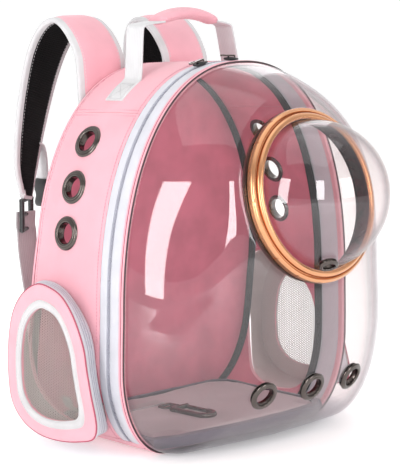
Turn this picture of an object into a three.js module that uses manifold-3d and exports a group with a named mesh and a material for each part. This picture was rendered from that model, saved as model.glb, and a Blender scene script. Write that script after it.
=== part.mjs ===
// Bubble pet carrier backpack, in millimetres.
// The clear front faces -Y, the wearer's back is at +Y, and the base's underside lies on z = 0.

import * as THREE from "three";
import { mergeVertices } from "three/addons/utils/BufferGeometryUtils.js";
import Module from "manifold-3d";

const wasm = await Module();
wasm.setup();

// Clearances and cloth
const gap = 0.3; // between two pieces that touch on the real bag
const cloth = 3; // lined wall of the gusset
const stationStep = 23; // length of one facet along the bag's outline

// Fabric body, seen from the front as an arch with round lower corners
const body = {
  halfWidth: 160,
  shoulderHalfWidth: 158.9,
  height: 380,
  depth: 135,
  cornerWidth: 58,
  cornerHeight: 87,
  archStart: 138,
  archPower: 2.27,
  taper: 0.015,
  backSwell: 26,
  swellHeight: 210,
};
const flange = { width: 7, thickness: 4 };
const zipper = { width: 28, startHeight: 12 };
const crownSeamDrop = 48; // below the crown
const backPanel = { thickness: 4, inset: 0.5 };
const binding = { width: 10, thickness: 2 };

// Clear shell and the round seat of the bubble, which leans back; its middle lies a drop below the crown
const shell = { thickness: 2, inset: 1.2, columns: 8 };
const ring = { drop: 127, reach: 93, tilt: 0.237, hole: 83, seat: 90, rise: 8 };
const ringWall = { outer: 85.2, sleeve: 82.2, inner: 80.6, depth: 6 };
const ringRound = { inner: 1.2, outer: 1.4, step: 2, slope: 1, side: 2.4 };
const nut = { outer: 87 };
const collar = { inner: 76.9, rise: 12, clearance: 0.75 }; // turns freely inside the ring
const collarRound = { run: 1, drop: 1.2 };
const dome = { wall: 1.8, lift: 2, skirt: 4 };
const roundSteps = 32;

// Eyelets
const sideEyelet = { outer: 17, inner: 10.5, rim: 2.6, backOuter: 15 };
const shellEyelet = { outer: 15, inner: 9.5, rim: 2.4, backOuter: 13.4 };
const ventEyelet = { outer: 10, inner: 5.6, rim: 1.8, backOuter: 8.6 };
const eyeletWall = 1.8; // metal between the hole and the neck's outside
const eyeletSides = 12;
const punch = { clearance: 0.42, reach: 30 }; // goes right through a wall
const sideEyeletOffset = 90; // behind the rim
const sideEyeletDrops = { top: 76, middle: 120, bottom: 165 }; // below the crown
const shellEyeletHeight = 66;
const shellEyeletSpread = 62.5;
const ventPolar = 1.234; // from the bubble's axis
const ventTurn = -1.865; // around it, from +X

// Side doors
const door = { width: 133, height: 151, foot: 14, front: 14.5, depth: 24, face: 3, gusset: 2 };
const doorFoot = { inset: 14, shift: 8 }; // the zipped strip narrows and leans back towards the wall
const doorWindow = { border: 17, drop: 6, binding: 8, mesh: 1.2, bindingRise: 1.6 };
const doorwayInset = 4; // cloth left inside the door's seam

// Pad on the floor
const pad = { rise: 0.3, thickness: 11, clearance: 8 };

// Carrying handle, which rises above the crown: each web is folded down onto the gusset and sewn there
const handle = { web: 25, webThickness: 2, halfSpan: 66, offset: 84, rise: 36, lean: 8 };
const handleTail = { reach: 36, step: 10, rows: 4 };
const grip = { halfLength: 40.9, width: 30, thickness: 13, crown: 9, drop: 2 };

// Shoulder straps, webbing and buckles; a strap rises above the crown and its tip hangs below it
const strap = { width: 63, thickness: 11, spacing: 60, reach: 76, rise: 40, drop: 144, splay: 46 };
const webbing = { width: 25, thickness: 1.8, foot: 34, tail: 14 };
const ladder = { width: 34, height: 36, thickness: 6, bar: 5, drop: 1.1 };
const chest = { length: 38, width: 20, lean: 3, place: 0.72 }; // place is a share of the strap's length
const chestBuckle = { length: 30, width: 24, thickness: 8, waistWidth: 10, waistLength: 10 };

// Tether with its snap hook
const hook = { length: 58, width: 26, bar: 6, thickness: 6, x: -22, y: -20, turn: 0.06 };
const gate = { width: 5, thickness: 5 };
const swivel = { width: 20, height: 14, wall: 3, thickness: 4 };
const tether = { width: 14, thickness: 2, anchorHeight: 46, slack: 1 };

// Zipper sliders
const slider = { length: 14, width: 9, height: 4 };
const pull = { length: 22, width: 6, thickness: 1.6 };
const sliderPlaces = { left: -35, right: 6 };

const rimY = -body.depth / 2;
const seatY = rimY - ring.reach;
const ringHeight = body.height - ring.drop;
const handleTop = body.height + handle.rise;

const colours = {
  pink: { color: 0xf3b3c3, roughness: 0.85 },
  tape: { color: 0xdcdce6, roughness: 0.8 },
  dark: { color: 0x2c2a2e, roughness: 0.7 },
  clear: { color: 0xdfe3e6, roughness: 0.08 },
  copper: { color: 0xc9824e, roughness: 0.32, metalness: 0.9 },
  gunmetal: { color: 0x4c4745, roughness: 0.35, metalness: 0.9 },
  mesh: { color: 0xcfc8c4, roughness: 0.9 },
  plastic: { color: 0x111113, roughness: 0.4 },
  pad: { color: 0xb9adb4, roughness: 0.85 },
};

const bag = new THREE.Group();

function addMesh(parent, name, geometry, look) {
  const mesh = new THREE.Mesh(geometry, new THREE.MeshStandardMaterial(colours[look]));
  mesh.name = name;
  parent.add(mesh);
  return mesh;
}

// Mesh helpers

function signedVolume(geometry) {
  const position = geometry.getAttribute("position");
  const index = geometry.getIndex();
  const [a, b, c] = [new THREE.Vector3(), new THREE.Vector3(), new THREE.Vector3()];
  let volume = 0;
  for (let i = 0; i < index.count; i += 3) {
    a.fromBufferAttribute(position, index.getX(i));
    b.fromBufferAttribute(position, index.getX(i + 1));
    c.fromBufferAttribute(position, index.getX(i + 2));
    volume += a.dot(b.cross(c)) / 6;
  }
  return volume;
}

// Leaves position alone, merges shared corners and turns the faces outward.
function tidy(geometry) {
  const plain = geometry.clone();
  plain.deleteAttribute("normal");
  plain.deleteAttribute("uv");
  const merged = mergeVertices(plain, 1e-3);
  if (signedVolume(merged) < 0) {
    const order = Array.from(merged.getIndex().array);
    for (let i = 0; i < order.length; i += 3) {
      [order[i], order[i + 1]] = [order[i + 1], order[i]];
    }
    merged.setIndex(order);
  }
  return merged;
}

function toSolid(geometry) {
  const merged = tidy(geometry);
  return new wasm.Manifold(new wasm.Mesh({
    numProp: 3,
    vertProperties: new Float32Array(merged.getAttribute("position").array),
    triVerts: new Uint32Array(merged.getIndex().array),
  }));
}

function toGeometry(solid) {
  const mesh = solid.getMesh();
  const geometry = new THREE.BufferGeometry();
  geometry.setAttribute("position", new THREE.BufferAttribute(mesh.vertProperties, mesh.numProp));
  geometry.setIndex(Array.from(mesh.triVerts));
  return tidy(geometry);
}

function cut(geometry, tools) {
  const solid = tools.reduce((rest, tool) => rest.subtract(toSolid(tool)), toSolid(geometry));
  return toGeometry(solid);
}

// Skins a row of equal sections. Open rows get flat ends, fanned from the section's first corner.
function loft(sections, closed) {
  const corners = sections[0].length;
  const geometry = new THREE.BufferGeometry();
  geometry.setAttribute("position", new THREE.Float32BufferAttribute(
    sections.flat().flatMap((point) => point.toArray()), 3));
  const faces = [];
  const rows = closed ? sections.length : sections.length - 1;
  for (let row = 0; row < rows; row += 1) {
    const next = (row + 1) % sections.length;
    for (let corner = 0; corner < corners; corner += 1) {
      const beside = (corner + 1) % corners;
      const [a, b] = [row * corners + corner, row * corners + beside];
      const [c, d] = [next * corners + beside, next * corners + corner];
      faces.push(a, b, c, a, c, d);
    }
  }
  if (!closed) {
    const last = (sections.length - 1) * corners;
    for (let corner = 1; corner < corners - 1; corner += 1) {
      faces.push(0, corner + 1, corner);
      faces.push(last, last + corner, last + corner + 1);
    }
  }
  geometry.setIndex(faces);
  return tidy(geometry);
}

function mirrored(geometry) {
  const copy = geometry.clone();
  copy.scale(-1, 1, 1);
  return tidy(copy);
}

function turned(profile, sides = roundSteps) {
  const points = profile.map(([radius, along]) => new THREE.Vector2(radius, along));
  if (profile[0][0] > 0) {
    points.push(points[0].clone());
  }
  return tidy(new THREE.LatheGeometry(points, sides));
}

function placed(geometry, position, axis) {
  const turn = new THREE.Quaternion().setFromUnitVectors(new THREE.Vector3(0, 1, 0), axis);
  return geometry.clone().applyQuaternion(turn).translate(position.x, position.y, position.z);
}

// Where a ray first meets a surface, and the surface's own direction there
function surfacePlace(geometry, start, direction) {
  const surface = new THREE.Mesh(geometry, new THREE.MeshBasicMaterial());
  const [hit] = new THREE.Raycaster(start, direction).intersectObject(surface);
  return { position: hit.point, axis: hit.face.normal.clone() };
}

// Outline of the bag from the front

const arc = Math.PI / 2;

function traceOutline() {
  const flatEnd = body.halfWidth - body.cornerWidth;
  const archHeight = body.height - body.archStart;
  const points = [new THREE.Vector2(0, 0)];
  const steps = 24;
  for (let i = 0; i <= steps; i += 1) {
    const angle = (i / steps) * arc;
    points.push(new THREE.Vector2(
      flatEnd + body.cornerWidth * Math.sin(angle), body.cornerHeight * (1 - Math.cos(angle))));
  }
  for (let i = 1; i < steps; i += 1) {
    const share = i / steps;
    points.push(new THREE.Vector2(
      THREE.MathUtils.lerp(body.halfWidth, body.shoulderHalfWidth, share * share),
      THREE.MathUtils.lerp(body.cornerHeight, body.archStart, share)));
  }
  for (let i = 0; i <= 3 * steps; i += 1) {
    const angle = (i / (3 * steps)) * arc;
    points.push(new THREE.Vector2(
      body.shoulderHalfWidth * Math.max(0, Math.cos(angle)) ** (2 / body.archPower),
      body.archStart + archHeight * Math.sin(angle) ** (2 / body.archPower)));
  }
  return points;
}

const outline = traceOutline();
const outlineReach = [0];
for (let i = 1; i < outline.length; i += 1) {
  outlineReach.push(outlineReach[i - 1] + outline[i].distanceTo(outline[i - 1]));
}
const halfLength = outlineReach.at(-1);

// Point on the outline at a distance from the base's middle: positive to the right, up and over.
function outlinePoint(distance) {
  const wrapped = THREE.MathUtils.euclideanModulo(distance + halfLength, 2 * halfLength) - halfLength;
  const along = Math.abs(wrapped);
  let i = outlineReach.findIndex((reach) => reach >= along);
  i = Math.max(1, i);
  const share = (along - outlineReach[i - 1]) / (outlineReach[i] - outlineReach[i - 1]);
  const point = outline[i - 1].clone().lerp(outline[i], share);
  return new THREE.Vector2(Math.sign(wrapped || 1) * point.x, point.y);
}

function outlineNormal(distance) {
  const step = outlinePoint(distance + 1).sub(outlinePoint(distance - 1)).normalize();
  return new THREE.Vector2(step.y, -step.x);
}

// Distance along the right half at which the outline reaches a height
function distanceAt(height) {
  const i = outline.findIndex((point) => point.y >= height && point.y > 0);
  const share = (height - outline[i - 1].y) / (outline[i].y - outline[i - 1].y);
  return THREE.MathUtils.lerp(outlineReach[i - 1], outlineReach[i], share);
}

function backOffset(height) {
  const low = THREE.MathUtils.clamp(1 - height / body.swellHeight, 0, 1);
  return body.depth + body.backSwell * low ** 1.2;
}

// Point of the gusset at a distance round the outline, an offset behind the rim and a depth inward
function wallPoint(distance, offset, inset) {
  const point = outlinePoint(distance).addScaledVector(outlineNormal(distance), -inset);
  const narrowing = 1 - body.taper * (offset / body.depth);
  return new THREE.Vector3(point.x * narrowing, rimY + offset, point.y * narrowing);
}

// Stations of the right half: even steps over the flat base, then even steps up to the crown
function traceStations() {
  const flatEnd = body.halfWidth - body.cornerWidth;
  const flatSteps = Math.round(flatEnd / stationStep);
  const curvedSteps = Math.round((halfLength - flatEnd) / stationStep);
  const flat = Array.from({ length: flatSteps }, (_, i) => (i / flatSteps) * flatEnd);
  const curved = Array.from({ length: curvedSteps + 1 }, (_, i) => (
    THREE.MathUtils.lerp(flatEnd, halfLength, i / curvedSteps)));
  return [...flat, ...curved];
}

const halfStations = traceStations();
const roundStations = [
  ...halfStations.slice(1, -1).toReversed().map((station) => -station),
  ...halfStations,
];
const allStations = [...roundStations, ...halfStations.toReversed().slice(1).map(
  (station) => 2 * halfLength - station)];

function stationsBetween(from, to) {
  const inner = allStations.filter((station) => station - from > 1 && to - station > 1);
  return [from, ...inner, to];
}

// Strip of cloth between two offsets behind the rim
function band({ stations, start, end, inset, thickness, closed = false }) {
  const sections = stations.map((distance) => {
    const finish = typeof end === "function" ? end(outlinePoint(distance).y) : end;
    const begin = typeof start === "function" ? start(outlinePoint(distance).y) : start;
    return [
      wallPoint(distance, begin, inset),
      wallPoint(distance, finish, inset),
      wallPoint(distance, finish, inset + thickness),
      wallPoint(distance, begin, inset + thickness),
    ];
  });
  return loft(sections, closed);
}

// Table look-up with straight lines between its rows
function fromTable(table, key, column, value) {
  const i = table.findIndex((row) => row[key] >= value);
  if (i <= 0) {
    return (i < 0 ? table.at(-1) : table[0])[column];
  }
  const share = (value - table[i - 1][key]) / (table[i][key] - table[i - 1][key]);
  return THREE.MathUtils.lerp(table[i - 1][column], table[i][column], share);
}

// Fabric body

const zipperStart = distanceAt(zipper.startHeight);
const crownSeam = distanceAt(body.height - crownSeamDrop);
const gussetStart = flange.width + gap;
const wallDepth = cloth + gap + binding.thickness; // cloth and its seam binding
const gussetEnd = (height) => backOffset(height + wallDepth) - gap;

function eyeletNeck(size) {
  return size.inner + eyeletWall;
}

// A metal eyelet pressed through a wall, with its axis along +Y and the wall's outside at 0
function eyelet(size, wall, backGap) {
  const neck = eyeletNeck(size);
  return turned([
    [size.inner, -wall - backGap - size.rim],
    [size.inner, gap + size.rim],
    [size.outer, gap],
    [neck, gap],
    [neck, -wall - backGap],
    [size.backOuter, -wall - backGap],
  ], eyeletSides);
}

function eyeletHole(size, position, axis) {
  const tool = new THREE.CylinderGeometry(
    eyeletNeck(size) + punch.clearance, eyeletNeck(size) + punch.clearance, punch.reach, eyeletSides);
  return placed(tool, position, axis);
}

function sideEyeletPlace(drop) {
  const distance = distanceAt(body.height - drop);
  const normal = outlineNormal(distance);
  return {
    position: wallPoint(distance, sideEyeletOffset, 0),
    axis: new THREE.Vector3(normal.x, 0, normal.y),
  };
}

// Side door, drawn as seen from the bag's right side with the door's front edge at 0.
// Each row is a share of the door's width, from its front edge, and of its height.
const doorEdge = [
  { along: 0.02, up: 0.07 },
  { along: 0, up: 0.15 },
  { along: 0.07, up: 0.38 },
  { along: 0.15, up: 0.6 },
  { along: 0.22, up: 0.77 },
  { along: 0.33, up: 0.9 },
  { along: 0.5, up: 0.985 },
  { along: 0.67, up: 0.99 },
  { along: 0.87, up: 0.86 },
  { along: 0.97, up: 0.71 },
  { along: 1, up: 0.44 },
  { along: 0.995, up: 0.28 },
  { along: 0.96, up: 0.17 },
  { along: 0.86, up: 0.075 },
  { along: 0.68, up: 0.015 },
  { along: 0.44, up: 0 },
  { along: 0.2, up: 0.02 },
];
const doorFrontY = rimY + door.front;
const doorFaceX = body.halfWidth + door.depth;
const doorSteps = 24;

// The door's outline, drawn in by an inset on every side and lowered at the foot by a drop, as
// points of (y, z)
function doorOutline(inset, drop = 0) {
  const [width, height] = [door.width - 2 * inset, door.height - 2 * inset + drop];
  const foot = door.foot + inset - drop;
  const curve = new THREE.CatmullRomCurve3(doorEdge.map(({ along, up }) => new THREE.Vector3(
    doorFrontY + inset + along * width, foot + up * height, 0)), true, "centripetal");
  return Array.from({ length: doorSteps }, (_, i) => {
    const point = curve.getPointAt(i / doorSteps);
    return new THREE.Vector2(point.x, point.y);
  });
}

// Where the door's zipped strip is sewn to the side panel
function doorSeam(inset) {
  return doorOutline(doorFoot.inset + inset).map(({ x, y }) => new THREE.Vector2(x + doorFoot.shift, y));
}

// Plate of an outline in (y, z), from x to x + thickness, with an optional hole
function sidePlate(edge, x, thickness, hole) {
  const shape = new THREE.Shape(edge);
  if (hole) {
    shape.holes.push(new THREE.Path(hole.toReversed()));
  }
  const plate = new THREE.ExtrudeGeometry(shape, { depth: thickness, bevelEnabled: false });
  const turn = new THREE.Matrix4().makeBasis(
    new THREE.Vector3(0, 1, 0), new THREE.Vector3(0, 0, 1), new THREE.Vector3(1, 0, 0));
  return tidy(plate.applyMatrix4(turn).translate(x, 0, 0));
}

function wallX(height) {
  return outlinePoint(distanceAt(height)).x;
}

// The zipped strip round the door, from the side panel out to the face
function doorGusset() {
  const faceBack = doorFaceX - door.face - gap;
  const [outer, inner] = [doorOutline(0), doorOutline(door.gusset)];
  const [seamOuter, seamInner] = [doorSeam(0), doorSeam(door.gusset)];
  return loft(outer.map((point, i) => [
    new THREE.Vector3(wallX(seamOuter[i].y) + gap, seamOuter[i].x, seamOuter[i].y),
    new THREE.Vector3(faceBack, point.x, point.y),
    new THREE.Vector3(faceBack, inner[i].x, inner[i].y),
    new THREE.Vector3(wallX(seamInner[i].y) + gap, seamInner[i].x, seamInner[i].y),
  ]), true);
}

function addDoor(side, put) {
  const { border, drop, mesh, bindingRise } = doorWindow;
  const windowEdge = doorOutline(border + doorWindow.binding, drop);
  const face = sidePlate(doorOutline(0), doorFaceX - door.face, door.face, windowEdge);
  const tape = sidePlate(doorOutline(border, drop), doorFaceX + gap, bindingRise, windowEdge);
  const net = sidePlate(doorOutline(border + doorWindow.binding + gap, drop), doorFaceX - door.face, mesh);
  addMesh(bag, `door_${side}_gusset`, put(doorGusset()), "tape");
  addMesh(bag, `door_${side}_face`, put(face), "pink");
  addMesh(bag, `door_${side}_binding`, put(tape), "tape");
  addMesh(bag, `door_${side}_mesh`, put(net), "mesh");
}

function sidePanel() {
  const cloths = band({
    stations: stationsBetween(zipperStart + gap, crownSeam - gap / 2),
    start: flange.width + zipper.width + 2 * gap,
    end: gussetEnd,
    inset: 0,
    thickness: cloth,
  });
  const holes = Object.values(sideEyeletDrops).map((drop) => {
    const { position, axis } = sideEyeletPlace(drop);
    return eyeletHole(sideEyelet, position, axis);
  });
  const doorway = sidePlate(doorSeam(doorwayInset), body.halfWidth / 2, body.halfWidth);
  return cut(cloths, [...holes, doorway]);
}

function addBody() {
  const round = { stations: roundStations, inset: 0, closed: true };
  addMesh(bag, "rim_flange", band({
    ...round, start: 0, end: flange.width, thickness: flange.thickness }), "pink");
  addMesh(bag, "base_panel", band({
    stations: stationsBetween(-zipperStart, zipperStart),
    start: gussetStart, end: gussetEnd, inset: 0, thickness: cloth }), "pink");
  addMesh(bag, "zipper_band", band({
    stations: stationsBetween(zipperStart + gap, 2 * halfLength - zipperStart - gap),
    start: gussetStart, end: gussetStart + zipper.width, inset: 0, thickness: cloth }), "tape");
  addMesh(bag, "top_panel", band({
    stations: stationsBetween(crownSeam + gap / 2, 2 * halfLength - crownSeam - gap / 2),
    start: flange.width + zipper.width + 2 * gap,
    end: gussetEnd, inset: 0, thickness: cloth }), "pink");
  addMesh(bag, "back_seam_binding", band({
    ...round, inset: cloth + gap, thickness: binding.thickness,
    start: (height) => gussetEnd(height) - binding.width, end: gussetEnd }), "dark");
  addMesh(bag, "front_seam_binding", band({
    ...round, inset: cloth + gap, thickness: binding.thickness,
    start: flange.width + zipper.width - binding.width / 2,
    end: flange.width + zipper.width + binding.width / 2 }), "dark");
  const panel = sidePanel();
  addMesh(bag, "side_panel_right", panel, "pink");
  addMesh(bag, "side_panel_left", mirrored(panel), "pink");
  addDoor("right", (geometry) => geometry);
  addDoor("left", mirrored);
}

// Back panel: level rows from the base to the crown, each as wide as the outline there

function backFaceY(height) {
  return rimY + backOffset(height) + backPanel.thickness;
}

function addBackPanel() {
  const rows = stationsBetween(body.halfWidth - body.cornerWidth, halfLength - 1);
  addMesh(bag, "back_panel", loft(rows.map((distance) => {
    const edge = wallPoint(distance, body.depth, backPanel.inset);
    const y = rimY + backOffset(outlinePoint(distance).y);
    const [x, z] = [Math.max(edge.x, 1), Math.max(edge.z, 0)];
    return [
      new THREE.Vector3(-x, y, z),
      new THREE.Vector3(x, y, z),
      new THREE.Vector3(x, y + backPanel.thickness, z),
      new THREE.Vector3(-x, y + backPanel.thickness, z),
    ];
  }), false), "pink");
}

// Clear shell: columns run from the bubble's seat to the rim

// Roundness of a column (1 is straight) and its swell in mm, by the direction from the seat
const shellForm = [
  { direction: -90, roundness: 2.6, swell: -2 },
  { direction: -62, roundness: 2.05, swell: -1 },
  { direction: -35, roundness: 1.5, swell: -2 },
  { direction: 0, roundness: 1.35, swell: 0 },
  { direction: 45, roundness: 1.15, swell: 14 },
  { direction: 90, roundness: 1.15, swell: 10 },
];

function seatPoint(angle, radius, along) {
  const up = radius * Math.sin(angle);
  return new THREE.Vector3(
    radius * Math.cos(angle),
    seatY + up * Math.sin(ring.tilt) - along * Math.cos(ring.tilt),
    ringHeight + up * Math.cos(ring.tilt) + along * Math.sin(ring.tilt));
}

function shellColumn(distance) {
  const rim = wallPoint(distance, 0, shell.inset);
  rim.y = rimY - gap;
  const angle = Math.atan2(rim.z - ringHeight, rim.x);
  const direction = THREE.MathUtils.radToDeg(Math.asin(Math.sin(angle)));
  const roundness = fromTable(shellForm, "direction", "roundness", direction);
  const swell = fromTable(shellForm, "direction", "swell", direction);
  const seat = seatPoint(angle, ring.seat, 0);
  const column = [seatPoint(angle, ring.hole, 0)];
  for (let i = 0; i <= shell.columns; i += 1) {
    const turn = (i / shell.columns) * arc;
    const outward = Math.sin(turn) ** (2 / roundness);
    const forward = Math.max(0, Math.cos(turn)) ** (2 / roundness);
    const point = seat.clone().lerp(rim, outward);
    point.y = THREE.MathUtils.lerp(rim.y, seat.y, forward) - swell * 4 * outward * (1 - outward);
    column.push(point);
  }
  return column;
}

const shellOutside = roundStations.map(shellColumn);

function shellNormal(column, row) {
  const count = shellOutside.length;
  const left = shellOutside[(column + count - 1) % count][row];
  const right = shellOutside[(column + 1) % count][row];
  const rows = shellOutside[column];
  const near = rows[Math.max(0, row - 1)];
  const far = rows[Math.min(rows.length - 1, row + 1)];
  return right.clone().sub(left).cross(far.clone().sub(near)).normalize();
}

function shellInside(column) {
  const last = shellOutside[column].length - 1;
  return shellOutside[column].map((point, row) => {
    const inside = point.clone().addScaledVector(shellNormal(column, row), shell.thickness);
    if (row === last) {
      inside.copy(wallPoint(roundStations[column], 0, shell.inset + shell.thickness));
      inside.y = point.y;
    }
    return inside;
  });
}

const shellInner = shellOutside.map((_, column) => shellInside(column));

function addShell() {
  const whole = loft(shellOutside.map((column, i) => [...column, ...shellInner[i].toReversed()]), true);
  const places = [-shellEyeletSpread, 0, shellEyeletSpread].map((x) => surfacePlace(
    whole, new THREE.Vector3(x, seatY - ring.seat, shellEyeletHeight), new THREE.Vector3(0, 1, 0)));
  addMesh(bag, "bubble_shell", cut(whole, places.map(({ position, axis }) => (
    eyeletHole(shellEyelet, position, axis)))), "clear");
  const backGap = 2.2; // the washer clears the hollow side of the curved wall
  ["left", "middle", "right"].forEach((side, i) => {
    const piece = placed(eyelet(shellEyelet, shell.thickness, backGap), places[i].position, places[i].axis);
    addMesh(bag, `shell_eyelet_${side}`, piece, "gunmetal");
  });
}

function addSideEyelets() {
  const backGap = 1.1; // the washer clears the hollow side of the curved wall
  for (const [name, drop] of Object.entries(sideEyeletDrops)) {
    const { position, axis } = sideEyeletPlace(drop);
    const piece = placed(eyelet(sideEyelet, cloth, backGap), position, axis);
    addMesh(bag, `eyelet_right_${name}`, piece, "gunmetal");
    addMesh(bag, `eyelet_left_${name}`, mirrored(piece), "gunmetal");
  }
}

// Bubble: drawn about its own axis, +Y forward, with the seat's outside at 0

function domeProfile(outer) {
  const inner = outer - dome.wall;
  const steps = 6;
  const arcs = Array.from({ length: steps + 1 }, (_, i) => (i / steps) * arc);
  return [
    ...arcs.map((angle) => [outer * Math.sin(angle), dome.lift + outer * Math.cos(angle)]),
    [outer, -dome.skirt],
    [inner, -dome.skirt],
    ...arcs.toReversed().map((angle) => [inner * Math.sin(angle), dome.lift + inner * Math.cos(angle)]),
  ];
}

function addBubble() {
  const bubble = new THREE.Group();
  bubble.position.set(0, seatY, ringHeight);
  bubble.rotation.x = Math.PI - ring.tilt;
  bag.add(bubble);
  const { outer, sleeve, inner, depth } = ringWall;
  addMesh(bubble, "bubble_ring", turned([
    [inner, -depth],
    [inner, ring.rise - ringRound.step],
    [inner + ringRound.inner, ring.rise],
    [outer - ringRound.outer, ring.rise - ringRound.slope],
    [outer, ring.rise - ringRound.side],
    [outer, gap],
    [sleeve, gap],
    [sleeve, -depth],
  ]), "copper");
  addMesh(bubble, "ring_nut", turned([
    [sleeve + gap, -depth],
    [sleeve + gap, -shell.thickness - gap],
    [nut.outer, -shell.thickness - gap],
    [nut.outer, -depth],
  ]), "plastic");
  const bead = inner - collar.clearance;
  addMesh(bubble, "dome_collar", turned([
    [collar.inner, -depth],
    [collar.inner, collar.rise - collarRound.drop],
    [collar.inner + collarRound.run, collar.rise],
    [bead - collarRound.run, collar.rise],
    [bead, collar.rise - collarRound.drop],
    [bead, -depth],
  ]), "copper");
  const domeOuter = collar.inner - gap;
  const whole = turned(domeProfile(domeOuter));
  const toVent = new THREE.Vector3(
    Math.sin(ventPolar) * Math.cos(ventTurn),
    Math.cos(ventPolar),
    -Math.sin(ventPolar) * Math.sin(ventTurn));
  const centre = new THREE.Vector3(0, dome.lift, 0);
  const vent = surfacePlace(whole, centre.addScaledVector(toVent, 2 * domeOuter), toVent.clone().negate());
  addMesh(bubble, "dome", cut(whole, [eyeletHole(ventEyelet, vent.position, vent.axis)]), "clear");
  const backGap = 0.9; // the washer clears the hollow side of the dome
  addMesh(bubble, "dome_vent", placed(
    eyelet(ventEyelet, dome.wall, backGap), vent.position, vent.axis), "gunmetal");
}

// Floor pad: fills the floor up to the hollow of the clear shell

const padBottom = wallDepth + pad.rise;
const padTop = padBottom + pad.thickness;

// Outline of the free floor at a height, clear of the walls and of the shell
function floorOutline(height) {
  const backY = rimY + gussetEnd(height) - pad.clearance;
  const side = wallX(height - wallDepth) - pad.clearance;
  const front = [];
  shellInner.forEach((column, i) => {
    const low = column.findLastIndex((point) => point.z > height);
    const inFront = outlinePoint(roundStations[i]).y < height && low >= 0 && low < column.length - 1;
    if (inFront) {
      const [a, b] = [column[low], column[low + 1]];
      const point = a.clone().lerp(b, (a.z - height) / (a.z - b.z));
      const hold = 1 - (2 * pad.clearance) / Math.hypot(point.x, point.y - backY);
      front.push(new THREE.Vector3(point.x * hold, backY + (point.y - backY) * hold, height));
    }
  });
  return [
    new THREE.Vector3(-side, backY, height),
    new THREE.Vector3(-side, rimY, height),
    ...front,
    new THREE.Vector3(side, rimY, height),
    new THREE.Vector3(side, backY, height),
  ];
}

function spaced(points, count) {
  const path = new THREE.CurvePath();
  points.forEach((point, i) => path.add(new THREE.LineCurve3(point, points[(i + 1) % points.length])));
  const length = path.getLength();
  const reaches = path.getCurveLengths();
  return Array.from({ length: count }, (_, k) => {
    const reach = (k / count) * length;
    const i = reaches.findIndex((end) => end > reach);
    const start = i > 0 ? reaches[i - 1] : 0;
    return path.curves[i].getPointAt((reach - start) / (reaches[i] - start));
  });
}

function addFloorPad() {
  const padSides = 36;
  const levels = [padBottom, padTop];
  const rows = levels.map((height) => spaced(floorOutline(height), padSides));
  addMesh(bag, "floor_pad", loft(rows, false), "pad");
}

// Flat straps: a width and a thickness carried along a path, with the width's direction at each point

function ribbon(rows) {
  return loft(rows.map(({ point, across, out, width, thickness }) => {
    const side = across.clone().normalize().multiplyScalar(width / 2);
    const lift = out.clone().normalize().multiplyScalar(thickness / 2);
    return [
      point.clone().add(side).add(lift),
      point.clone().sub(side).add(lift),
      point.clone().sub(side).sub(lift),
      point.clone().add(side).sub(lift),
    ];
  }), false);
}

// Rows for a ribbon whose width stays along one direction
function ribbonAlong(points, across, width, thickness) {
  return ribbon(points.map((point, i) => {
    const before = points[Math.max(0, i - 1)];
    const after = points[Math.min(points.length - 1, i + 1)];
    const out = across.clone().cross(after.clone().sub(before));
    return { point, across, out, width, thickness };
  }));
}

// Fold at the top of a handle web: how far inward of the corner and how far below the handle's top
const handleFold = [
  { inward: -1, below: 8 },
  { inward: 2, below: 2 },
  { inward: 8, below: 0 },
];

function addHandle() {
  const y = rimY + handle.offset;
  const lift = handle.webThickness / 2 + gap;
  const onWall = (distance) => {
    const point = wallPoint(distance, handle.offset - handle.web / 2, -lift);
    return new THREE.Vector3(point.x, y, point.z);
  };
  const foot = outlineReach.findLast((_, i) => outline[i].x >= handle.halfSpan);
  const across = new THREE.Vector3(0, 1, 0);
  const gripZ = handleTop + grip.drop;
  const leg = (side, lean) => {
    const tail = Array.from({ length: handleTail.rows }, (_, i) => (
      onWall(foot - handleTail.reach + i * handleTail.step)));
    const bend = tail.at(-1);
    const rise = { x: -3, z: 7 }; // where the web leaves the gusset
    const points = [
      ...tail,
      new THREE.Vector3(bend.x + rise.x, y, bend.z + rise.z),
      ...handleFold.map(({ inward, below }) => (
        new THREE.Vector3(handle.halfSpan - lean - inward, y, handleTop - below))),
      new THREE.Vector3(grip.halfLength + gap, y, gripZ),
    ];
    return ribbonAlong(points.map((p) => p.setX(side * p.x)), across, handle.web, handle.webThickness);
  };
  addMesh(bag, "handle_strap_left", leg(-1, 0), "tape");
  addMesh(bag, "handle_strap_right", leg(1, handle.lean), "tape");
  const [steps, sides] = [8, 10];
  const gripRows = Array.from({ length: steps + 1 }, (_, i) => {
    const share = (2 * i) / steps - 1;
    return new THREE.Vector3(share * grip.halfLength, y, gripZ + grip.crown * (1 - share * share));
  });
  const section = (point) => Array.from({ length: sides }, (_, i) => {
    const angle = (i / sides) * 2 * Math.PI;
    return new THREE.Vector3(point.x,
      y + (grip.width / 2) * Math.cos(angle), point.z + (grip.thickness / 2) * Math.sin(angle));
  });
  addMesh(bag, "handle_grip", loft(gripRows.map(section), false), "pink");
}

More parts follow.
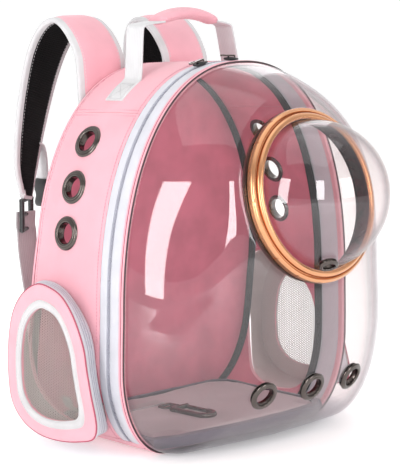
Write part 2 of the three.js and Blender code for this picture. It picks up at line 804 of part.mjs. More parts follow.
// Shoulder strap. Each row is a share of the reach behind the back panel, of the way up from
// the tip to the crown, of the splay outward, and of the width, with the turn of its face.
const strapForm = [
  { behind: 0.004, up: 0.5, splay: 0, width: 0.9, turn: 0 },
  { behind: 0.004, up: 0.72, splay: 0, width: 1, turn: 0 },
  { behind: 0.06, up: 0.82, splay: 0, width: 1, turn: 0 },
  { behind: 0.26, up: 0.93, splay: 0, width: 1, turn: 2 },
  { behind: 0.52, up: 0.995, splay: 0.02, width: 1, turn: 5 },
  { behind: 0.76, up: 0.96, splay: 0.1, width: 1, turn: 8 },
  { behind: 0.93, up: 0.84, splay: 0.25, width: 1, turn: 12 },
  { behind: 1, up: 0.66, splay: 0.45, width: 1, turn: 18 },
  { behind: 1, up: 0.4, splay: 0.72, width: 0.98, turn: 24 },
  { behind: 0.96, up: 0.18, splay: 0.92, width: 0.86, turn: 28 },
  { behind: 0.92, up: 0.05, splay: 0.98, width: 0.6, turn: 32 },
  { behind: 0.9, up: 0, splay: 1, width: 0.42, turn: 34 },
];
const strapBackY = backFaceY(body.height) + gap + strap.thickness / 2;

function strapPoint({ behind, up, splay }) {
  return new THREE.Vector3(
    strap.spacing + splay * strap.splay,
    strapBackY + behind * strap.reach,
    body.height + THREE.MathUtils.lerp(-strap.drop, strap.rise, up));
}

function strapRows() {
  const curve = new THREE.CatmullRomCurve3(strapForm.map(strapPoint), false, "centripetal");
  const count = 22;
  const last = strapForm.length - 1;
  return Array.from({ length: count + 1 }, (_, i) => {
    const share = i / count;
    const place = share * last;
    const low = Math.min(last - 1, Math.floor(place));
    const mix = (column) => THREE.MathUtils.lerp(
      strapForm[low][column], strapForm[low + 1][column], place - low);
    const turn = THREE.MathUtils.degToRad(mix("turn"));
    const across = new THREE.Vector3(Math.cos(turn), -Math.sin(turn), 0);
    const point = curve.getPoint(share);
    const along = curve.getTangent(share);
    return {
      point,
      across,
      out: along.clone().cross(across),
      width: strap.width * mix("width"),
      thickness: strap.thickness,
    };
  });
}

// A flat frame with one middle bar, in its own plane, pierced by two slots
function ladderLock() {
  const { width, height, thickness, bar } = ladder;
  const rectangle = (w, h, z) => [[-w, z - h], [w, z - h], [w, z + h], [-w, z + h]].map(
    ([x, y]) => new THREE.Vector2(x, y));
  const shape = new THREE.Shape(rectangle(width / 2, height / 2, 0));
  const slot = (height - 3 * bar) / 4;
  for (const side of [-1, 1]) {
    shape.holes.push(new THREE.Path(rectangle(width / 2 - bar, slot, side * (slot + bar / 2))));
  }
  return tidy(new THREE.ExtrudeGeometry(shape, { depth: thickness, bevelEnabled: false })
    .translate(0, 0, -thickness / 2).rotateX(arc));
}

const webbingSteps = [0, 0.12, 0.35, 0.6, 0.8, 0.92, 1]; // shares of the way down
const webbingBow = 1.6; // above 1 the webbing hangs out before it comes in to its foot

function addShoulderStrap(side, put) {
  const rows = strapRows();
  addMesh(bag, `shoulder_strap_${side}`, put(ribbon(rows)), "pink");
  const tip = rows.at(-1);
  const turn = Math.atan2(-tip.across.y, tip.across.x);
  const lock = ladderLock().rotateZ(-turn).translate(
    tip.point.x, tip.point.y, tip.point.z - ladder.height / 2 - ladder.drop);
  addMesh(bag, `ladder_lock_${side}`, put(lock), "plastic");
  const start = new THREE.Vector3(tip.point.x, tip.point.y, tip.point.z - ladder.height - 2 * ladder.drop);
  const lift = webbing.thickness / 2 + gap;
  const footY = backFaceY(webbing.foot) + lift;
  const end = new THREE.Vector3(strap.spacing + strap.splay, footY, webbing.foot);
  const path = webbingSteps.map((share) => {
    const point = start.clone().lerp(end, share);
    const bowed = THREE.MathUtils.lerp(start.y, footY, share ** webbingBow);
    return point.setY(Math.max(bowed, backFaceY(point.z) + lift));
  });
  const tailZ = webbing.foot - webbing.tail;
  path.push(end.clone().setZ(tailZ).setY(backFaceY(tailZ) + lift));
  addMesh(bag, `lower_webbing_${side}`, put(ribbonAlong(
    path, new THREE.Vector3(1, 0, 0), webbing.width, webbing.thickness)), "tape");
  addChestStrap(side, put, rows[Math.round(rows.length * chest.place)]);
}

// Half of the chest strap: a short web hanging from the shoulder strap's inner edge, and its buckle
function addChestStrap(side, put, row) {
  const edge = row.point.clone().addScaledVector(
    row.across, -row.width / 2 - 2 * gap - webbing.thickness / 2);
  const across = row.out.clone().setZ(0);
  const drop = (share) => edge.clone().add(new THREE.Vector3(-chest.lean * share, 0, -chest.length * share));
  addMesh(bag, `chest_webbing_${side}`, put(ribbonAlong(
    [0, 0.5, 1].map(drop), across, chest.width, webbing.thickness)), "tape");
  const middle = drop(1);
  middle.z -= gap + chestBuckle.length / 2;
  const { length, width, thickness, waistWidth, waistLength } = chestBuckle;
  const block = new THREE.BoxGeometry(thickness, width, length).translate(middle.x, middle.y, middle.z);
  const waist = new THREE.BoxGeometry(2 * thickness, waistWidth, waistLength);
  waist.translate(middle.x, middle.y, middle.z);
  addMesh(bag, `chest_buckle_${side}`, put(cut(block, [waist])), "plastic");
}

// Tether and snap hook, lying on the floor pad; the hook is drawn about its own middle

function snapHookShape() {
  const { length, width, bar } = hook;
  const [half, top, ringY] = [width / 2, length / 2, (width - length) / 2];
  const outer = new THREE.Shape();
  outer.moveTo(-half, ringY);
  outer.absarc(0, ringY, half, Math.PI, 2 * Math.PI, false);
  outer.lineTo(half, ringY + bar);
  outer.lineTo(half - bar, ringY + bar);
  outer.lineTo(half - bar, ringY);
  outer.absarc(0, ringY, half - bar, 0, -Math.PI, true);
  outer.lineTo(-half + bar, top - 2 * bar);
  outer.lineTo(half, top - 2 * bar);
  outer.lineTo(half, top - bar);
  outer.lineTo(bar / 2, top);
  outer.lineTo(-bar / 2, top);
  outer.lineTo(-half, top - bar);
  return outer;
}

// The sprung gate bridges the hook's mouth, round at both ends and hinged at the upper one
function gateShape() {
  const { length, width, bar } = hook;
  const [x, radius] = [width / 2 - bar / 2, gate.width / 2];
  const upper = length / 2 - 2 * bar - gap - radius;
  const lower = (width - length) / 2 + bar + gap + radius;
  const outer = new THREE.Shape();
  outer.moveTo(x + radius, upper);
  outer.absarc(x, upper, radius, 0, Math.PI, false);
  outer.lineTo(x - radius, lower);
  outer.absarc(x, lower, radius, Math.PI, 2 * Math.PI, false);
  return outer;
}

function swivelShape() {
  const { width, height, wall } = swivel;
  const foot = hook.length / 2 + gap;
  const rectangle = (inset) => [[-1, 0], [1, 0], [1, 1], [-1, 1]].map(([x, y]) => (
    new THREE.Vector2(x * (width / 2 - inset), foot + inset + y * (height - 2 * inset))));
  const loop = new THREE.Shape(rectangle(0));
  loop.holes.push(new THREE.Path(rectangle(wall)));
  return loop;
}

// The tether's way in mm: first from the wall, then to the swivel eye, with its height above the pad
const tetherFromWall = [
  { inward: 8, behind: 8, above: 15 },
  { inward: 34, behind: 10, above: 5 },
  { inward: 62, behind: 11, above: 2 },
];
const tetherToEye = [
  { beside: 22, behind: 10, above: 2 },
  { beside: 6, behind: 9, above: 2.4 },
  { beside: -7, behind: 8.4, above: 2.6 },
];

function addTether() {
  const restZ = padTop + gap;
  const hookGroup = new THREE.Group();
  hookGroup.position.set(hook.x, hook.y, restZ);
  hookGroup.rotation.z = hook.turn;
  bag.add(hookGroup);
  const plate = (shape, thickness) => tidy(new THREE.ExtrudeGeometry(
    shape, { depth: thickness, bevelEnabled: false, curveSegments: 10 }));
  addMesh(hookGroup, "snap_hook", plate(snapHookShape(), hook.thickness), "plastic");
  const gateLift = (hook.thickness - gate.thickness) / 2;
  addMesh(hookGroup, "snap_gate", plate(gateShape(), gate.thickness).translate(0, 0, gateLift), "gunmetal");
  addMesh(hookGroup, "swivel_eye", plate(swivelShape(), swivel.thickness), "gunmetal");
  const eyeEnd = new THREE.Vector3(0, hook.length / 2 + swivel.height + 2 * gap, 0);
  eyeEnd.applyAxisAngle(new THREE.Vector3(0, 0, 1), hook.turn).add(hookGroup.position);
  const wallEdge = -(wallX(tether.anchorHeight) - cloth - gap - tether.thickness / 2 - tether.slack);
  const points = [
    new THREE.Vector3(wallEdge, eyeEnd.y + tetherFromWall[0].behind, tether.anchorHeight),
    ...tetherFromWall.map(({ inward, behind, above }) => (
      new THREE.Vector3(wallEdge + inward, eyeEnd.y + behind, restZ + above))),
    ...tetherToEye.map(({ beside, behind, above }) => (
      new THREE.Vector3(eyeEnd.x - beside, eyeEnd.y + behind, restZ + above))),
  ];
  addMesh(bag, "tether_strap", ribbonAlong(
    points, new THREE.Vector3(0.05, 1, 0), tether.width, tether.thickness), "tape");
}

// Zipper sliders with their pulls, on the zipper band near the crown

function addSliders() {
  const offset = gussetStart + zipper.width / 2;
  for (const [side, x] of Object.entries(sliderPlaces)) {
    const reach = outlineReach.findLast((_, i) => outline[i].x >= Math.abs(x));
    const distance = x < 0 ? 2 * halfLength - reach : reach;
    const normal = outlineNormal(distance);
    const axis = new THREE.Vector3(normal.x, 0, normal.y);
    const seat = wallPoint(distance, offset, 0);
    const box = new THREE.BoxGeometry(slider.length, slider.height, slider.width);
    box.translate(0, slider.height / 2 + gap * 2, 0);
    addMesh(bag, `zipper_slider_${side}`, tidy(placed(box, seat, axis)), "plastic");
    const tab = new THREE.BoxGeometry(pull.length, pull.thickness, pull.width);
    const start = slider.height + gap * 3 + pull.thickness / 2;
    tab.translate(-pull.length / 2 + slider.length / 2, start, 0);
    addMesh(bag, `zipper_pull_${side}`, tidy(placed(tab, seat, axis)), "gunmetal");
  }
}

addBody();
addBackPanel();
addShell();
addSideEyelets();
addBubble();
addFloorPad();
addHandle();
addShoulderStrap("right", (geometry) => tidy(geometry));
addShoulderStrap("left", mirrored);
addTether();
addSliders();

export default bag;
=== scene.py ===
"""Bubble pet carrier backpack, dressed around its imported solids.

Every length is in metres and in the part's own frame: the clear front faces -Y, the back panel
faces +Y and the base stands on z = 0.
"""

from __future__ import annotations

import enum
import logging
import math
from bisect import bisect_left
from collections.abc import Callable, Iterable, Sequence
from dataclasses import dataclass
from functools import cached_property

import bmesh
import bpy
from mathutils import Matrix, Vector, noise
from mathutils.bvhtree import BVHTree


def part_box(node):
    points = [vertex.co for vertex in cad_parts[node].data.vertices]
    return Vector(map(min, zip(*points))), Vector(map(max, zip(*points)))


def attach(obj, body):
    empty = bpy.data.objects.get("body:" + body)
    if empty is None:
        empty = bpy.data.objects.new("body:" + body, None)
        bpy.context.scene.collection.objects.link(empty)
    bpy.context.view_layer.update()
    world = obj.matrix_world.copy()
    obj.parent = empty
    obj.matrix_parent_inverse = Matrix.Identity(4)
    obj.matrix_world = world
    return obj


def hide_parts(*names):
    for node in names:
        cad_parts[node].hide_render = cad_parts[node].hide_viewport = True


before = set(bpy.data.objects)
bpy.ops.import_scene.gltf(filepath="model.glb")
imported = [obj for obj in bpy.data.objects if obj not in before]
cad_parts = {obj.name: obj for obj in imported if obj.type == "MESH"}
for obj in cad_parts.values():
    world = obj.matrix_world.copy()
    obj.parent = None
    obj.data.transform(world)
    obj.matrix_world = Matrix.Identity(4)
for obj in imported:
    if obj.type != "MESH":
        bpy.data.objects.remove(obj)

log = logging.getLogger("carrier")

Rows = list[list[Vector]]
Colour = tuple[float, float, float]


class Body(enum.Enum):
    """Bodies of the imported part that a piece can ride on."""

    BAG = "bag"
    BUBBLE = "bubble"
    GATE = "gate"


class Slot(enum.Enum):
    """Material slots of the record."""

    PINK = "pink_fabric"
    TAPE = "zipper_tape"
    BINDING = "seam_binding"
    NET = "door_net"
    CLEAR = "clear_plastic"
    COPPER = "copper_finish"
    PLASTIC = "black_plastic"
    METAL = "dark_metal"
    PAD = "pad_fabric"


class Lay(enum.Enum):
    """What a pattern follows: the piece's own rows, or the part's frame."""

    PIECE = "piece"
    FRAME = "frame"


# Finishes


class ShaderSketch:
    """Adds and joins the nodes of one material."""

    def __init__(self, name: str) -> None:
        """Starts a material.

        Args:
            name: the material's name.
        """
        self.material = bpy.data.materials.new(name)
        self.material.use_nodes = True
        self.tree = self.material.node_tree
        self.shader = next(n for n in self.tree.nodes if n.type == "BSDF_PRINCIPLED")
        self.output = next(n for n in self.tree.nodes if n.type == "OUTPUT_MATERIAL")

    def add(self, kind: str, inputs: dict[int | str, object] | None = None,
            **settings: object) -> bpy.types.Node:
        """Adds a node.

        Args:
            kind: the node's type.
            inputs: values, or sockets to join, by input name or number.
            settings: the node's own settings.

        Returns:
            The new node.
        """
        node = self.tree.nodes.new(kind)
        for key, value in settings.items():
            setattr(node, key, value)
        for key, value in (inputs or {}).items():
            if isinstance(value, bpy.types.NodeSocket):
                self.tree.links.new(value, node.inputs[key])
            else:
                node.inputs[key].default_value = value
        return node

    def set(self, **values: object) -> None:
        """Sets the shader's own sockets, with underscores for the spaces in their names."""
        for key, value in values.items():
            socket = self.shader.inputs[key.replace("_", " ")]
            if isinstance(value, bpy.types.NodeSocket):
                self.tree.links.new(value, socket)
            else:
                socket.default_value = value

    def place(self, lay: Lay) -> bpy.types.NodeSocket:
        """Returns the coordinates in metres that a pattern follows."""
        if lay is Lay.PIECE:
            return self.add("ShaderNodeUVMap", uv_map="lay").outputs["UV"]
        return self.add("ShaderNodeTexCoord").outputs["Object"]

    def maths(self, operation: str, a: object, b: object = 0.0) -> bpy.types.NodeSocket:
        """Returns the result of a sum on one or two values."""
        return self.add("ShaderNodeMath", {0: a, 1: b}, operation=operation).outputs[0]

    def bands(self, place: bpy.types.NodeSocket, axis: str, spacing: float,
              wander: float = 0.0) -> bpy.types.NodeSocket:
        """Returns bands across an axis, from 0 to 1.

        Args:
            place: the coordinates.
            axis: X, Y or Z.
            spacing: from one band to the next, in metres.
            wander: how much they wander.
        """
        bands = self.add("ShaderNodeTexWave", {"Vector": place, "Scale": math.pi / (10 * spacing),
                         "Distortion": wander, "Detail": 1.0, "Detail Scale": 2.0}, bands_direction=axis)
        return bands.outputs["Factor"] if "Factor" in bands.outputs else bands.outputs["Fac"]

    def clouds(self, place: bpy.types.NodeSocket, size: float, detail: float = 2.0) -> bpy.types.NodeSocket:
        """Returns soft clouds of a size in metres, from 0 to 1."""
        cloud = self.add("ShaderNodeTexNoise", {"Vector": place, "Scale": 1 / size, "Detail": detail})
        return cloud.outputs["Factor"] if "Factor" in cloud.outputs else cloud.outputs["Fac"]

    def blend(self, share: bpy.types.NodeSocket, low: Colour, high: Colour, start: float = 0.3,
              end: float = 0.7) -> bpy.types.NodeSocket:
        """Returns a colour between two, by a share that counts from start to end.

        Args:
            share: what counts.
            low: the colour up to the start.
            high: the colour from the end on.
            start: the share at which it begins.
            end: the share at which it ends.

        Returns:
            The colour.
        """
        ramp = self.add("ShaderNodeValToRGB", {0: share})
        first, last = ramp.color_ramp.elements
        first.position, last.position = start, end
        first.color, last.color = (*low, 1), (*high, 1)
        return ramp.outputs["Color"]

    def bump(self, height: bpy.types.NodeSocket, depth: float, below: bpy.types.NodeSocket | None = None,
             strength: float = 1.0) -> bpy.types.NodeSocket:
        """Returns the surface's direction over a relief of a depth in metres, on top of another.

        Args:
            height: the relief, from 0 to 1.
            depth: its depth in metres.
            below: the direction of the surface under it.
            strength: how much of it shows.

        Returns:
            The direction.
        """
        inputs: dict[int | str, object] = {"Height": height, "Distance": depth, "Strength": strength}
        if below is not None:
            inputs["Normal"] = below
        return self.add("ShaderNodeBump", inputs).outputs["Normal"]


def shaded(colour: Colour, share: float) -> Colour:
    """Returns a colour made darker, or lighter above 1."""
    return tuple(min(1.0, part * share) for part in colour)


@dataclass(frozen=True)
class Finish:
    """One material, made once for all the pieces that share it."""

    name: str

    def sketch(self) -> ShaderSketch:
        """Draws the material's nodes; each kind of finish has its own."""
        raise NotImplementedError

    @property
    def material(self) -> bpy.types.Material:
        """The material, made at its first use."""
        return bpy.data.materials.get(self.name) or self.sketch().material


@dataclass(frozen=True)
class WovenCloth(Finish):
    """Plain woven cloth with a faint sheen and soft blotches."""

    colour: Colour
    thread: float = 0.0009
    relief: float = 0.00012
    roughness: float = 0.78
    sheen: float = 0.25
    blotch: float = 0.93
    lay: Lay = Lay.PIECE

    def sketch(self) -> ShaderSketch:
        """Draws the weave."""
        draft = ShaderSketch(self.name)
        place = draft.place(self.lay)
        frame_place = draft.place(Lay.FRAME)
        warp = draft.bands(place, "X", self.thread, 0.4)
        weft = draft.bands(place, "Y", self.thread, 0.4)
        weave = draft.maths("MULTIPLY", warp, weft)
        if self.lay is Lay.FRAME:
            third = draft.bands(place, "Z", self.thread, 0.4)
            weave = draft.maths("ADD", weave, draft.maths("MULTIPLY", third, draft.maths("ADD", warp, weft)))
        clouds = draft.clouds(frame_place, 0.035, 3.0)
        draft.set(Base_Color=draft.blend(clouds, shaded(self.colour, self.blotch), self.colour, 0.35, 0.65),
                  Roughness=self.roughness, Sheen_Weight=self.sheen, Sheen_Roughness=0.5,
                  Specular_IOR_Level=0.3)
        folds = draft.bump(draft.clouds(frame_place, 0.012, 2.0), 0.0006, strength=0.35)
        draft.set(Normal=draft.bump(weave, self.relief, folds, 0.8))
        return draft


@dataclass(frozen=True)
class RibbedTape(Finish):
    """Tape or webbing with ribs along its length and a fine crossing thread."""

    colour: Colour
    rib: float = 0.0024
    thread: float = 0.0008
    relief: float = 0.0002
    roughness: float = 0.7
    sheen: float = 0.15

    def sketch(self) -> ShaderSketch:
        """Draws the ribs."""
        draft = ShaderSketch(self.name)
        place = draft.place(Lay.PIECE)
        ribs = draft.bands(place, "Y", self.rib, 0.1)
        cross = draft.bands(place, "X", self.thread, 0.3)
        height = draft.maths("ADD", ribs, draft.maths("MULTIPLY", cross, 0.45))
        clouds = draft.clouds(draft.place(Lay.FRAME), 0.02, 3.0)
        # The colour mixes random blotches with painted shade: the rib troughs are darker.
        tint = draft.maths("ADD", draft.maths("MULTIPLY", clouds, 0.8), draft.maths("MULTIPLY", ribs, 0.2))
        draft.set(Base_Color=draft.blend(tint, shaded(self.colour, 0.88), self.colour, 0.25, 0.65),
                  Roughness=self.roughness, Sheen_Weight=self.sheen, Specular_IOR_Level=0.35,
                  Normal=draft.bump(height, self.relief, strength=0.8))
        return draft


@dataclass(frozen=True)
class SpacerMesh(Finish):
    """Thick air mesh with rows of small round holes."""

    colour: Colour
    hole: float = 0.0026

    def sketch(self) -> ShaderSketch:
        """Draws the holes."""
        draft = ShaderSketch(self.name)
        place = draft.place(Lay.PIECE)
        cells = draft.add("ShaderNodeTexVoronoi", {"Vector": place, "Scale": 1 / self.hole,
                          "Randomness": 0.12}, voronoi_dimensions="2D")
        rim = draft.add("ShaderNodeMapRange", {"Value": cells.outputs["Distance"], "From Min": 0.18,
                        "From Max": 0.42})
        fibre = draft.clouds(draft.place(Lay.FRAME), 0.0012, 3.0)
        # Painted shade: the holes are coloured darker than the mesh around them.
        draft.set(Base_Color=draft.blend(rim.outputs[0], shaded(self.colour, 0.25), self.colour, 0.1, 0.9),
                  Roughness=0.9, Specular_IOR_Level=0.12)
        fuzz = draft.bump(fibre, 0.0002, strength=0.6)
        draft.set(Normal=draft.bump(rim.outputs[0], 0.0006, fuzz, 0.9))
        return draft


@dataclass(frozen=True)
class Plush(Finish):
    """Short pile with a soft nap."""

    colour: Colour

    def sketch(self) -> ShaderSketch:
        """Draws the pile."""
        draft = ShaderSketch(self.name)
        place = draft.place(Lay.FRAME)
        pile = draft.clouds(place, 0.0011, 4.0)
        nap = draft.clouds(place, 0.03, 2.0)
        draft.set(Base_Color=draft.blend(nap, shaded(self.colour, 0.86), self.colour, 0.3, 0.7),
                  Roughness=0.95, Sheen_Weight=0.5, Sheen_Roughness=0.4, Specular_IOR_Level=0.15)
        draft.set(Normal=draft.bump(pile, 0.0005, draft.bump(nap, 0.002, strength=0.3), 0.8))
        return draft


@dataclass(frozen=True)
class ClearPlastic(Finish):
    """Clear moulded plastic: it mirrors at its edges and lets lamps through, with painted shade in its colour
    near the floor.
    """

    tint: Colour = (0.962, 0.945, 0.942)
    edge: Colour = (0.66, 0.62, 0.64)
    # Painted shade: the film's colour turns slate grey near the floor, up to the height below, for the shade
    # seen through the shell's bottom.
    painted_shade: Colour = (0.62, 0.61, 0.66)
    painted_shade_height: float = 0.020
    gloss: float = 0.045

    def sketch(self) -> ShaderSketch:
        """Draws the film."""
        draft = ShaderSketch(self.name)
        place = draft.place(Lay.FRAME)
        ripple = draft.bump(draft.clouds(place, 0.12, 1.0), 0.003, strength=0.05)
        facing = draft.add("ShaderNodeLayerWeight", {"Blend": 0.5, "Normal": ripple}).outputs["Facing"]
        height = draft.add("ShaderNodeSeparateXYZ", {0: place}).outputs["Z"]
        low = draft.add("ShaderNodeMapRange",
                        {"Value": height, "From Min": 0.0, "From Max": self.painted_shade_height})
        # painted shade: the film is darker towards the floor
        painted_shade = draft.blend(low.outputs[0], self.painted_shade, (1, 1, 1), 0.1, 1.0)
        clear = draft.blend(facing, self.tint, self.edge, 0.55, 1.0)
        mixed = draft.add("ShaderNodeMix", {"Factor": 1.0}, data_type="RGBA", blend_type="MULTIPLY")
        first_colour, second_colour, colour_result = mixed.inputs[6], mixed.inputs[7], mixed.outputs[2]
        draft.tree.links.new(clear, first_colour)
        draft.tree.links.new(painted_shade, second_colour)
        film = draft.add("ShaderNodeBsdfTransparent", {"Color": colour_result})
        draft.set(Base_Color=(0.95, 0.955, 0.97, 1), Metallic=1.0, Roughness=0.03, Normal=ripple)
        graze = draft.maths("POWER", facing, 5.0)
        gloss = draft.maths("ADD", draft.maths("MULTIPLY", graze, 0.8), self.gloss)
        joined = draft.add("ShaderNodeMixShader", {0: gloss, 1: film.outputs[0], 2: draft.shader.outputs[0]})
        draft.tree.links.new(joined.outputs[0], draft.output.inputs["Surface"])
        return draft


@dataclass(frozen=True)
class CoatedMetal(Finish):
    """Plated or coated metal with faint turning marks and handling wear."""

    colour: Colour
    roughness: float = 0.24
    coat: float = 0.3

    def sketch(self) -> ShaderSketch:
        """Draws the metal."""
        draft = ShaderSketch(self.name)
        place = draft.place(Lay.FRAME)
        wear = draft.clouds(place, 0.02, 3.0)
        grain = draft.clouds(place, 0.0009, 2.0)
        rough = draft.add("ShaderNodeMapRange", {"Value": wear, "To Min": self.roughness * 0.88,
                          "To Max": self.roughness * 1.12})
        draft.set(Base_Color=draft.blend(wear, shaded(self.colour, 0.95), self.colour, 0.35, 0.6),
                  Metallic=1.0, Roughness=rough.outputs[0], Coat_Weight=self.coat, Coat_Roughness=0.08,
                  Normal=draft.bump(grain, 0.00002, strength=0.25))
        return draft


@dataclass(frozen=True)
class MouldedPlastic(Finish):
    """Opaque moulded plastic with a fine grain."""

    colour: Colour
    roughness: float = 0.35
    grain: float = 0.0006

    def sketch(self) -> ShaderSketch:
        """Draws the plastic."""
        draft = ShaderSketch(self.name)
        place = draft.place(Lay.FRAME)
        grain = draft.clouds(place, self.grain, 2.0)
        marks = draft.clouds(place, 0.015, 3.0)
        rough = draft.add("ShaderNodeMapRange", {"Value": marks, "To Min": self.roughness * 0.8,
                          "To Max": self.roughness * 1.25})
        draft.set(Base_Color=draft.blend(marks, shaded(self.colour, 0.85), self.colour),
                  Roughness=rough.outputs[0], Specular_IOR_Level=0.55,
                  Normal=draft.bump(grain, 0.00005, strength=0.5))
        return draft


PINK = WovenCloth("pink_cloth", (0.81, 0.40, 0.46))
LINING = WovenCloth("rose_lining", (0.72, 0.20, 0.285), thread=0.0011, sheen=0.05, blotch=0.80)
THREAD = WovenCloth("pink_thread", (0.74, 0.33, 0.41), thread=0.0004, relief=0.00005)
# Painted shade: dark red for the rim's groove and the line round each door face.
SEAM_SHADE = WovenCloth("seam_shadow", (0.42, 0.09, 0.14), thread=0.0005, sheen=0.0)
DARK_BINDING = WovenCloth("charcoal_binding", (0.014, 0.014, 0.017), thread=0.0008, sheen=0.0)
ZIP_TAPE = RibbedTape("pale_zip_tape", (0.61, 0.61, 0.66), rib=0.0016, relief=0.00012)
ZIP_COIL = RibbedTape("zip_coil", (0.43, 0.43, 0.50), rib=0.0011, thread=0.0011, relief=0.0003)
WEBBING = RibbedTape("pale_webbing", (0.65, 0.645, 0.655))
TAUPE_WEBBING = RibbedTape("taupe_webbing", (0.40, 0.365, 0.375))
# Painted shade: the base's lining is coloured dark slate for the shade under the floor pad's front.
SLATE_PAINTED_SHADE = WovenCloth("slate_lining_painted_shade", (0.085, 0.08, 0.105), thread=0.0011)
TAUPE = WovenCloth("taupe_facing", (0.52, 0.44, 0.43), thread=0.0008)
WHITE_TRIM = RibbedTape("white_trim", (0.62, 0.61, 0.62), rib=0.0014, relief=0.00015)
AIR_MESH = SpacerMesh("black_air_mesh", (0.009, 0.0085, 0.009))
NET = RibbedTape("net_thread", (0.50, 0.45, 0.42), rib=0.0006, thread=0.0006, relief=0.00005)
PAD_TOP = Plush("mauve_plush", (0.43, 0.33, 0.36))
PAD_EDGE = WovenCloth("grey_pad_edge", (0.12, 0.105, 0.14))
CLEAR = ClearPlastic("clear_film")
COPPER = CoatedMetal("copper_coat", (0.70, 0.335, 0.165), roughness=0.25, coat=0.5)
GUNMETAL = CoatedMetal("gunmetal", (0.105, 0.088, 0.080), roughness=0.22, coat=0.3)
BLACK = MouldedPlastic("black_moulding", (0.012, 0.012, 0.013), roughness=0.28)
GASKET = MouldedPlastic("rim_gasket", (0.05, 0.025, 0.03), roughness=0.5)


# Forms


class Form:
    """Gathers faces, each with a finish number and its place in the piece's own lay."""

    def __init__(self) -> None:
        """Starts empty."""
        self.points: list[Vector] = []
        self.faces: list[tuple[int, ...]] = []
        self.paint: list[int] = []
        self.lay: list[tuple[tuple[float, float], ...]] = []

    def add_face(self, corners: Sequence[int], paint: int, lay: Sequence[tuple[float, float]]) -> None:
        """Adds one face."""
        self.faces.append(tuple(corners))
        self.paint.append(paint)
        self.lay.append(tuple(lay))

    def skin(self, rows: Rows, loop_rows: bool = False, loop_columns: bool = False, capped: bool = False,
             paint: int | Callable[[int, int], int] = 0) -> Form:
        """Adds a skin over rows of points.

        Args:
            rows: equally long rows.
            loop_rows: the last row joins the first.
            loop_columns: each row's last point joins its first.
            capped: the first and last rows are closed with a face each.
            paint: a finish number, or one by row and column.

        Returns:
            This form.
        """
        start, wide = len(self.points), len(rows[0])
        middle = wide // 2
        along = [0.0]
        for i in range(1, len(rows) + 1):
            step = rows[i % len(rows)][middle] - rows[i - 1][middle]
            along.append(along[-1] + step.length)
        across = [0.0]
        base = rows[len(rows) // 2]
        for j in range(1, wide + 1):
            across.append(across[-1] + (base[j % wide] - base[j - 1]).length)
        for row in rows:
            self.points.extend(row)
        for i in range(len(rows) if loop_rows else len(rows) - 1):
            for j in range(wide if loop_columns else wide - 1):
                down, side = (i + 1) % len(rows), (j + 1) % wide
                corners = (i * wide + j, down * wide + j, down * wide + side, i * wide + side)
                number = paint(i, j) if callable(paint) else paint
                self.add_face([start + c for c in corners], number, (
                    (along[i], across[j]), (along[i + 1], across[j]),
                    (along[i + 1], across[j + 1]), (along[i], across[j + 1])))
        if capped:
            for i in (0, len(rows) - 1):
                number = paint(max(0, i - 1), 0) if callable(paint) else paint
                ends = [start + i * wide + j for j in range(wide)]
                self.add_face(ends, number, [(p.x + p.y, p.z) for p in rows[i]])
        return self

    def rod(self, path: Sequence[Vector], radius: float, sides: int = 6, loop: bool = False,
            paint: int = 0, flat: float = 1.0, out: Sequence[Vector] | None = None) -> Form:
        """Adds a round or flattened rod.

        Args:
            path: points along its middle.
            radius: half its width.
            sides: faces round it.
            loop: its end joins its start.
            paint: the finish number.
            flat: its height as a share of its width.
            out: the direction of its height at each point.

        Returns:
            This form.
        """
        rows: Rows = []
        count = len(path)
        last = Vector((0.3, 0.5, 0.81))
        for i, point in enumerate(path):
            before = path[(i - 1) % count if loop else max(0, i - 1)]
            after = path[(i + 1) % count if loop else min(count - 1, i + 1)]
            tangent = (after - before).normalized()
            up = out[i] if out is not None else last - tangent * last.dot(tangent)
            if up.length < 1e-6:
                up = tangent.orthogonal()
            up = up.normalized()
            last = up
            side = tangent.cross(up).normalized()
            rows.append([point + side * (radius * math.cos(2 * math.pi * k / sides))
                         + up * (radius * flat * math.sin(2 * math.pi * k / sides)) for k in range(sides)])
        return self.skin(rows, loop_rows=loop, loop_columns=True, capped=not loop, paint=paint)

    def block(self, middle: Vector, axes: tuple[Vector, Vector, Vector], size: tuple[float, float, float],
              taper: float = 0.8, paint: int = 0) -> Form:
        """Adds a small block whose top is narrower.

        Args:
            middle: its middle.
            axes: its length, width and height directions.
            size: its length, width and height.
            taper: the top's share of the foot.
            paint: the finish number.

        Returns:
            This form.
        """
        start = len(self.points)
        for level, share in ((-0.5, 1.0), (0.5, taper)):
            for u, v in ((-0.5, -0.5), (0.5, -0.5), (0.5, 0.5), (-0.5, 0.5)):
                self.points.append(middle + axes[0] * (u * size[0] * share) + axes[1] * (v * size[1] * share)
                                   + axes[2] * (level * size[2]))
        for corners in ((0, 3, 2, 1), (4, 5, 6, 7), (0, 1, 5, 4), (1, 2, 6, 5), (2, 3, 7, 6), (3, 0, 4, 7)):
            flat = [(self.points[start + c].x, self.points[start + c].z) for c in corners]
            self.add_face([start + c for c in corners], paint, flat)
        return self

    def stitches(self, path: Sequence[Vector], out: Sequence[Vector], pitch: float = 0.0034,
                 length: float = 0.0024, width: float = 0.0006, loop: bool = False, paint: int = 0) -> Form:
        """Adds a run of stitches.

        Args:
            path: points along the seam, on the cloth.
            out: the cloth's outward direction at each.
            pitch: from stitch to stitch.
            length: of one stitch.
            width: of the thread.
            loop: the seam closes on itself.
            paint: the finish number.

        Returns:
            This form.
        """
        reach = 0.0
        due = pitch / 2
        count = len(path)
        for i in range(count if loop else count - 1):
            a, b = path[i], path[(i + 1) % count]
            step = (b - a).length
            while due <= reach + step and step > 1e-9:
                share = (due - reach) / step
                up = out[i].lerp(out[(i + 1) % count], share).normalized()
                tangent = (b - a).normalized()
                up = (up - tangent * up.dot(tangent)).normalized()
                side = tangent.cross(up)
                self.block(a.lerp(b, share) + up * width * 0.2, (tangent, side, up),
                           (length, width, width * 0.8), 0.7, paint)
                due += pitch
            reach += step
        return self

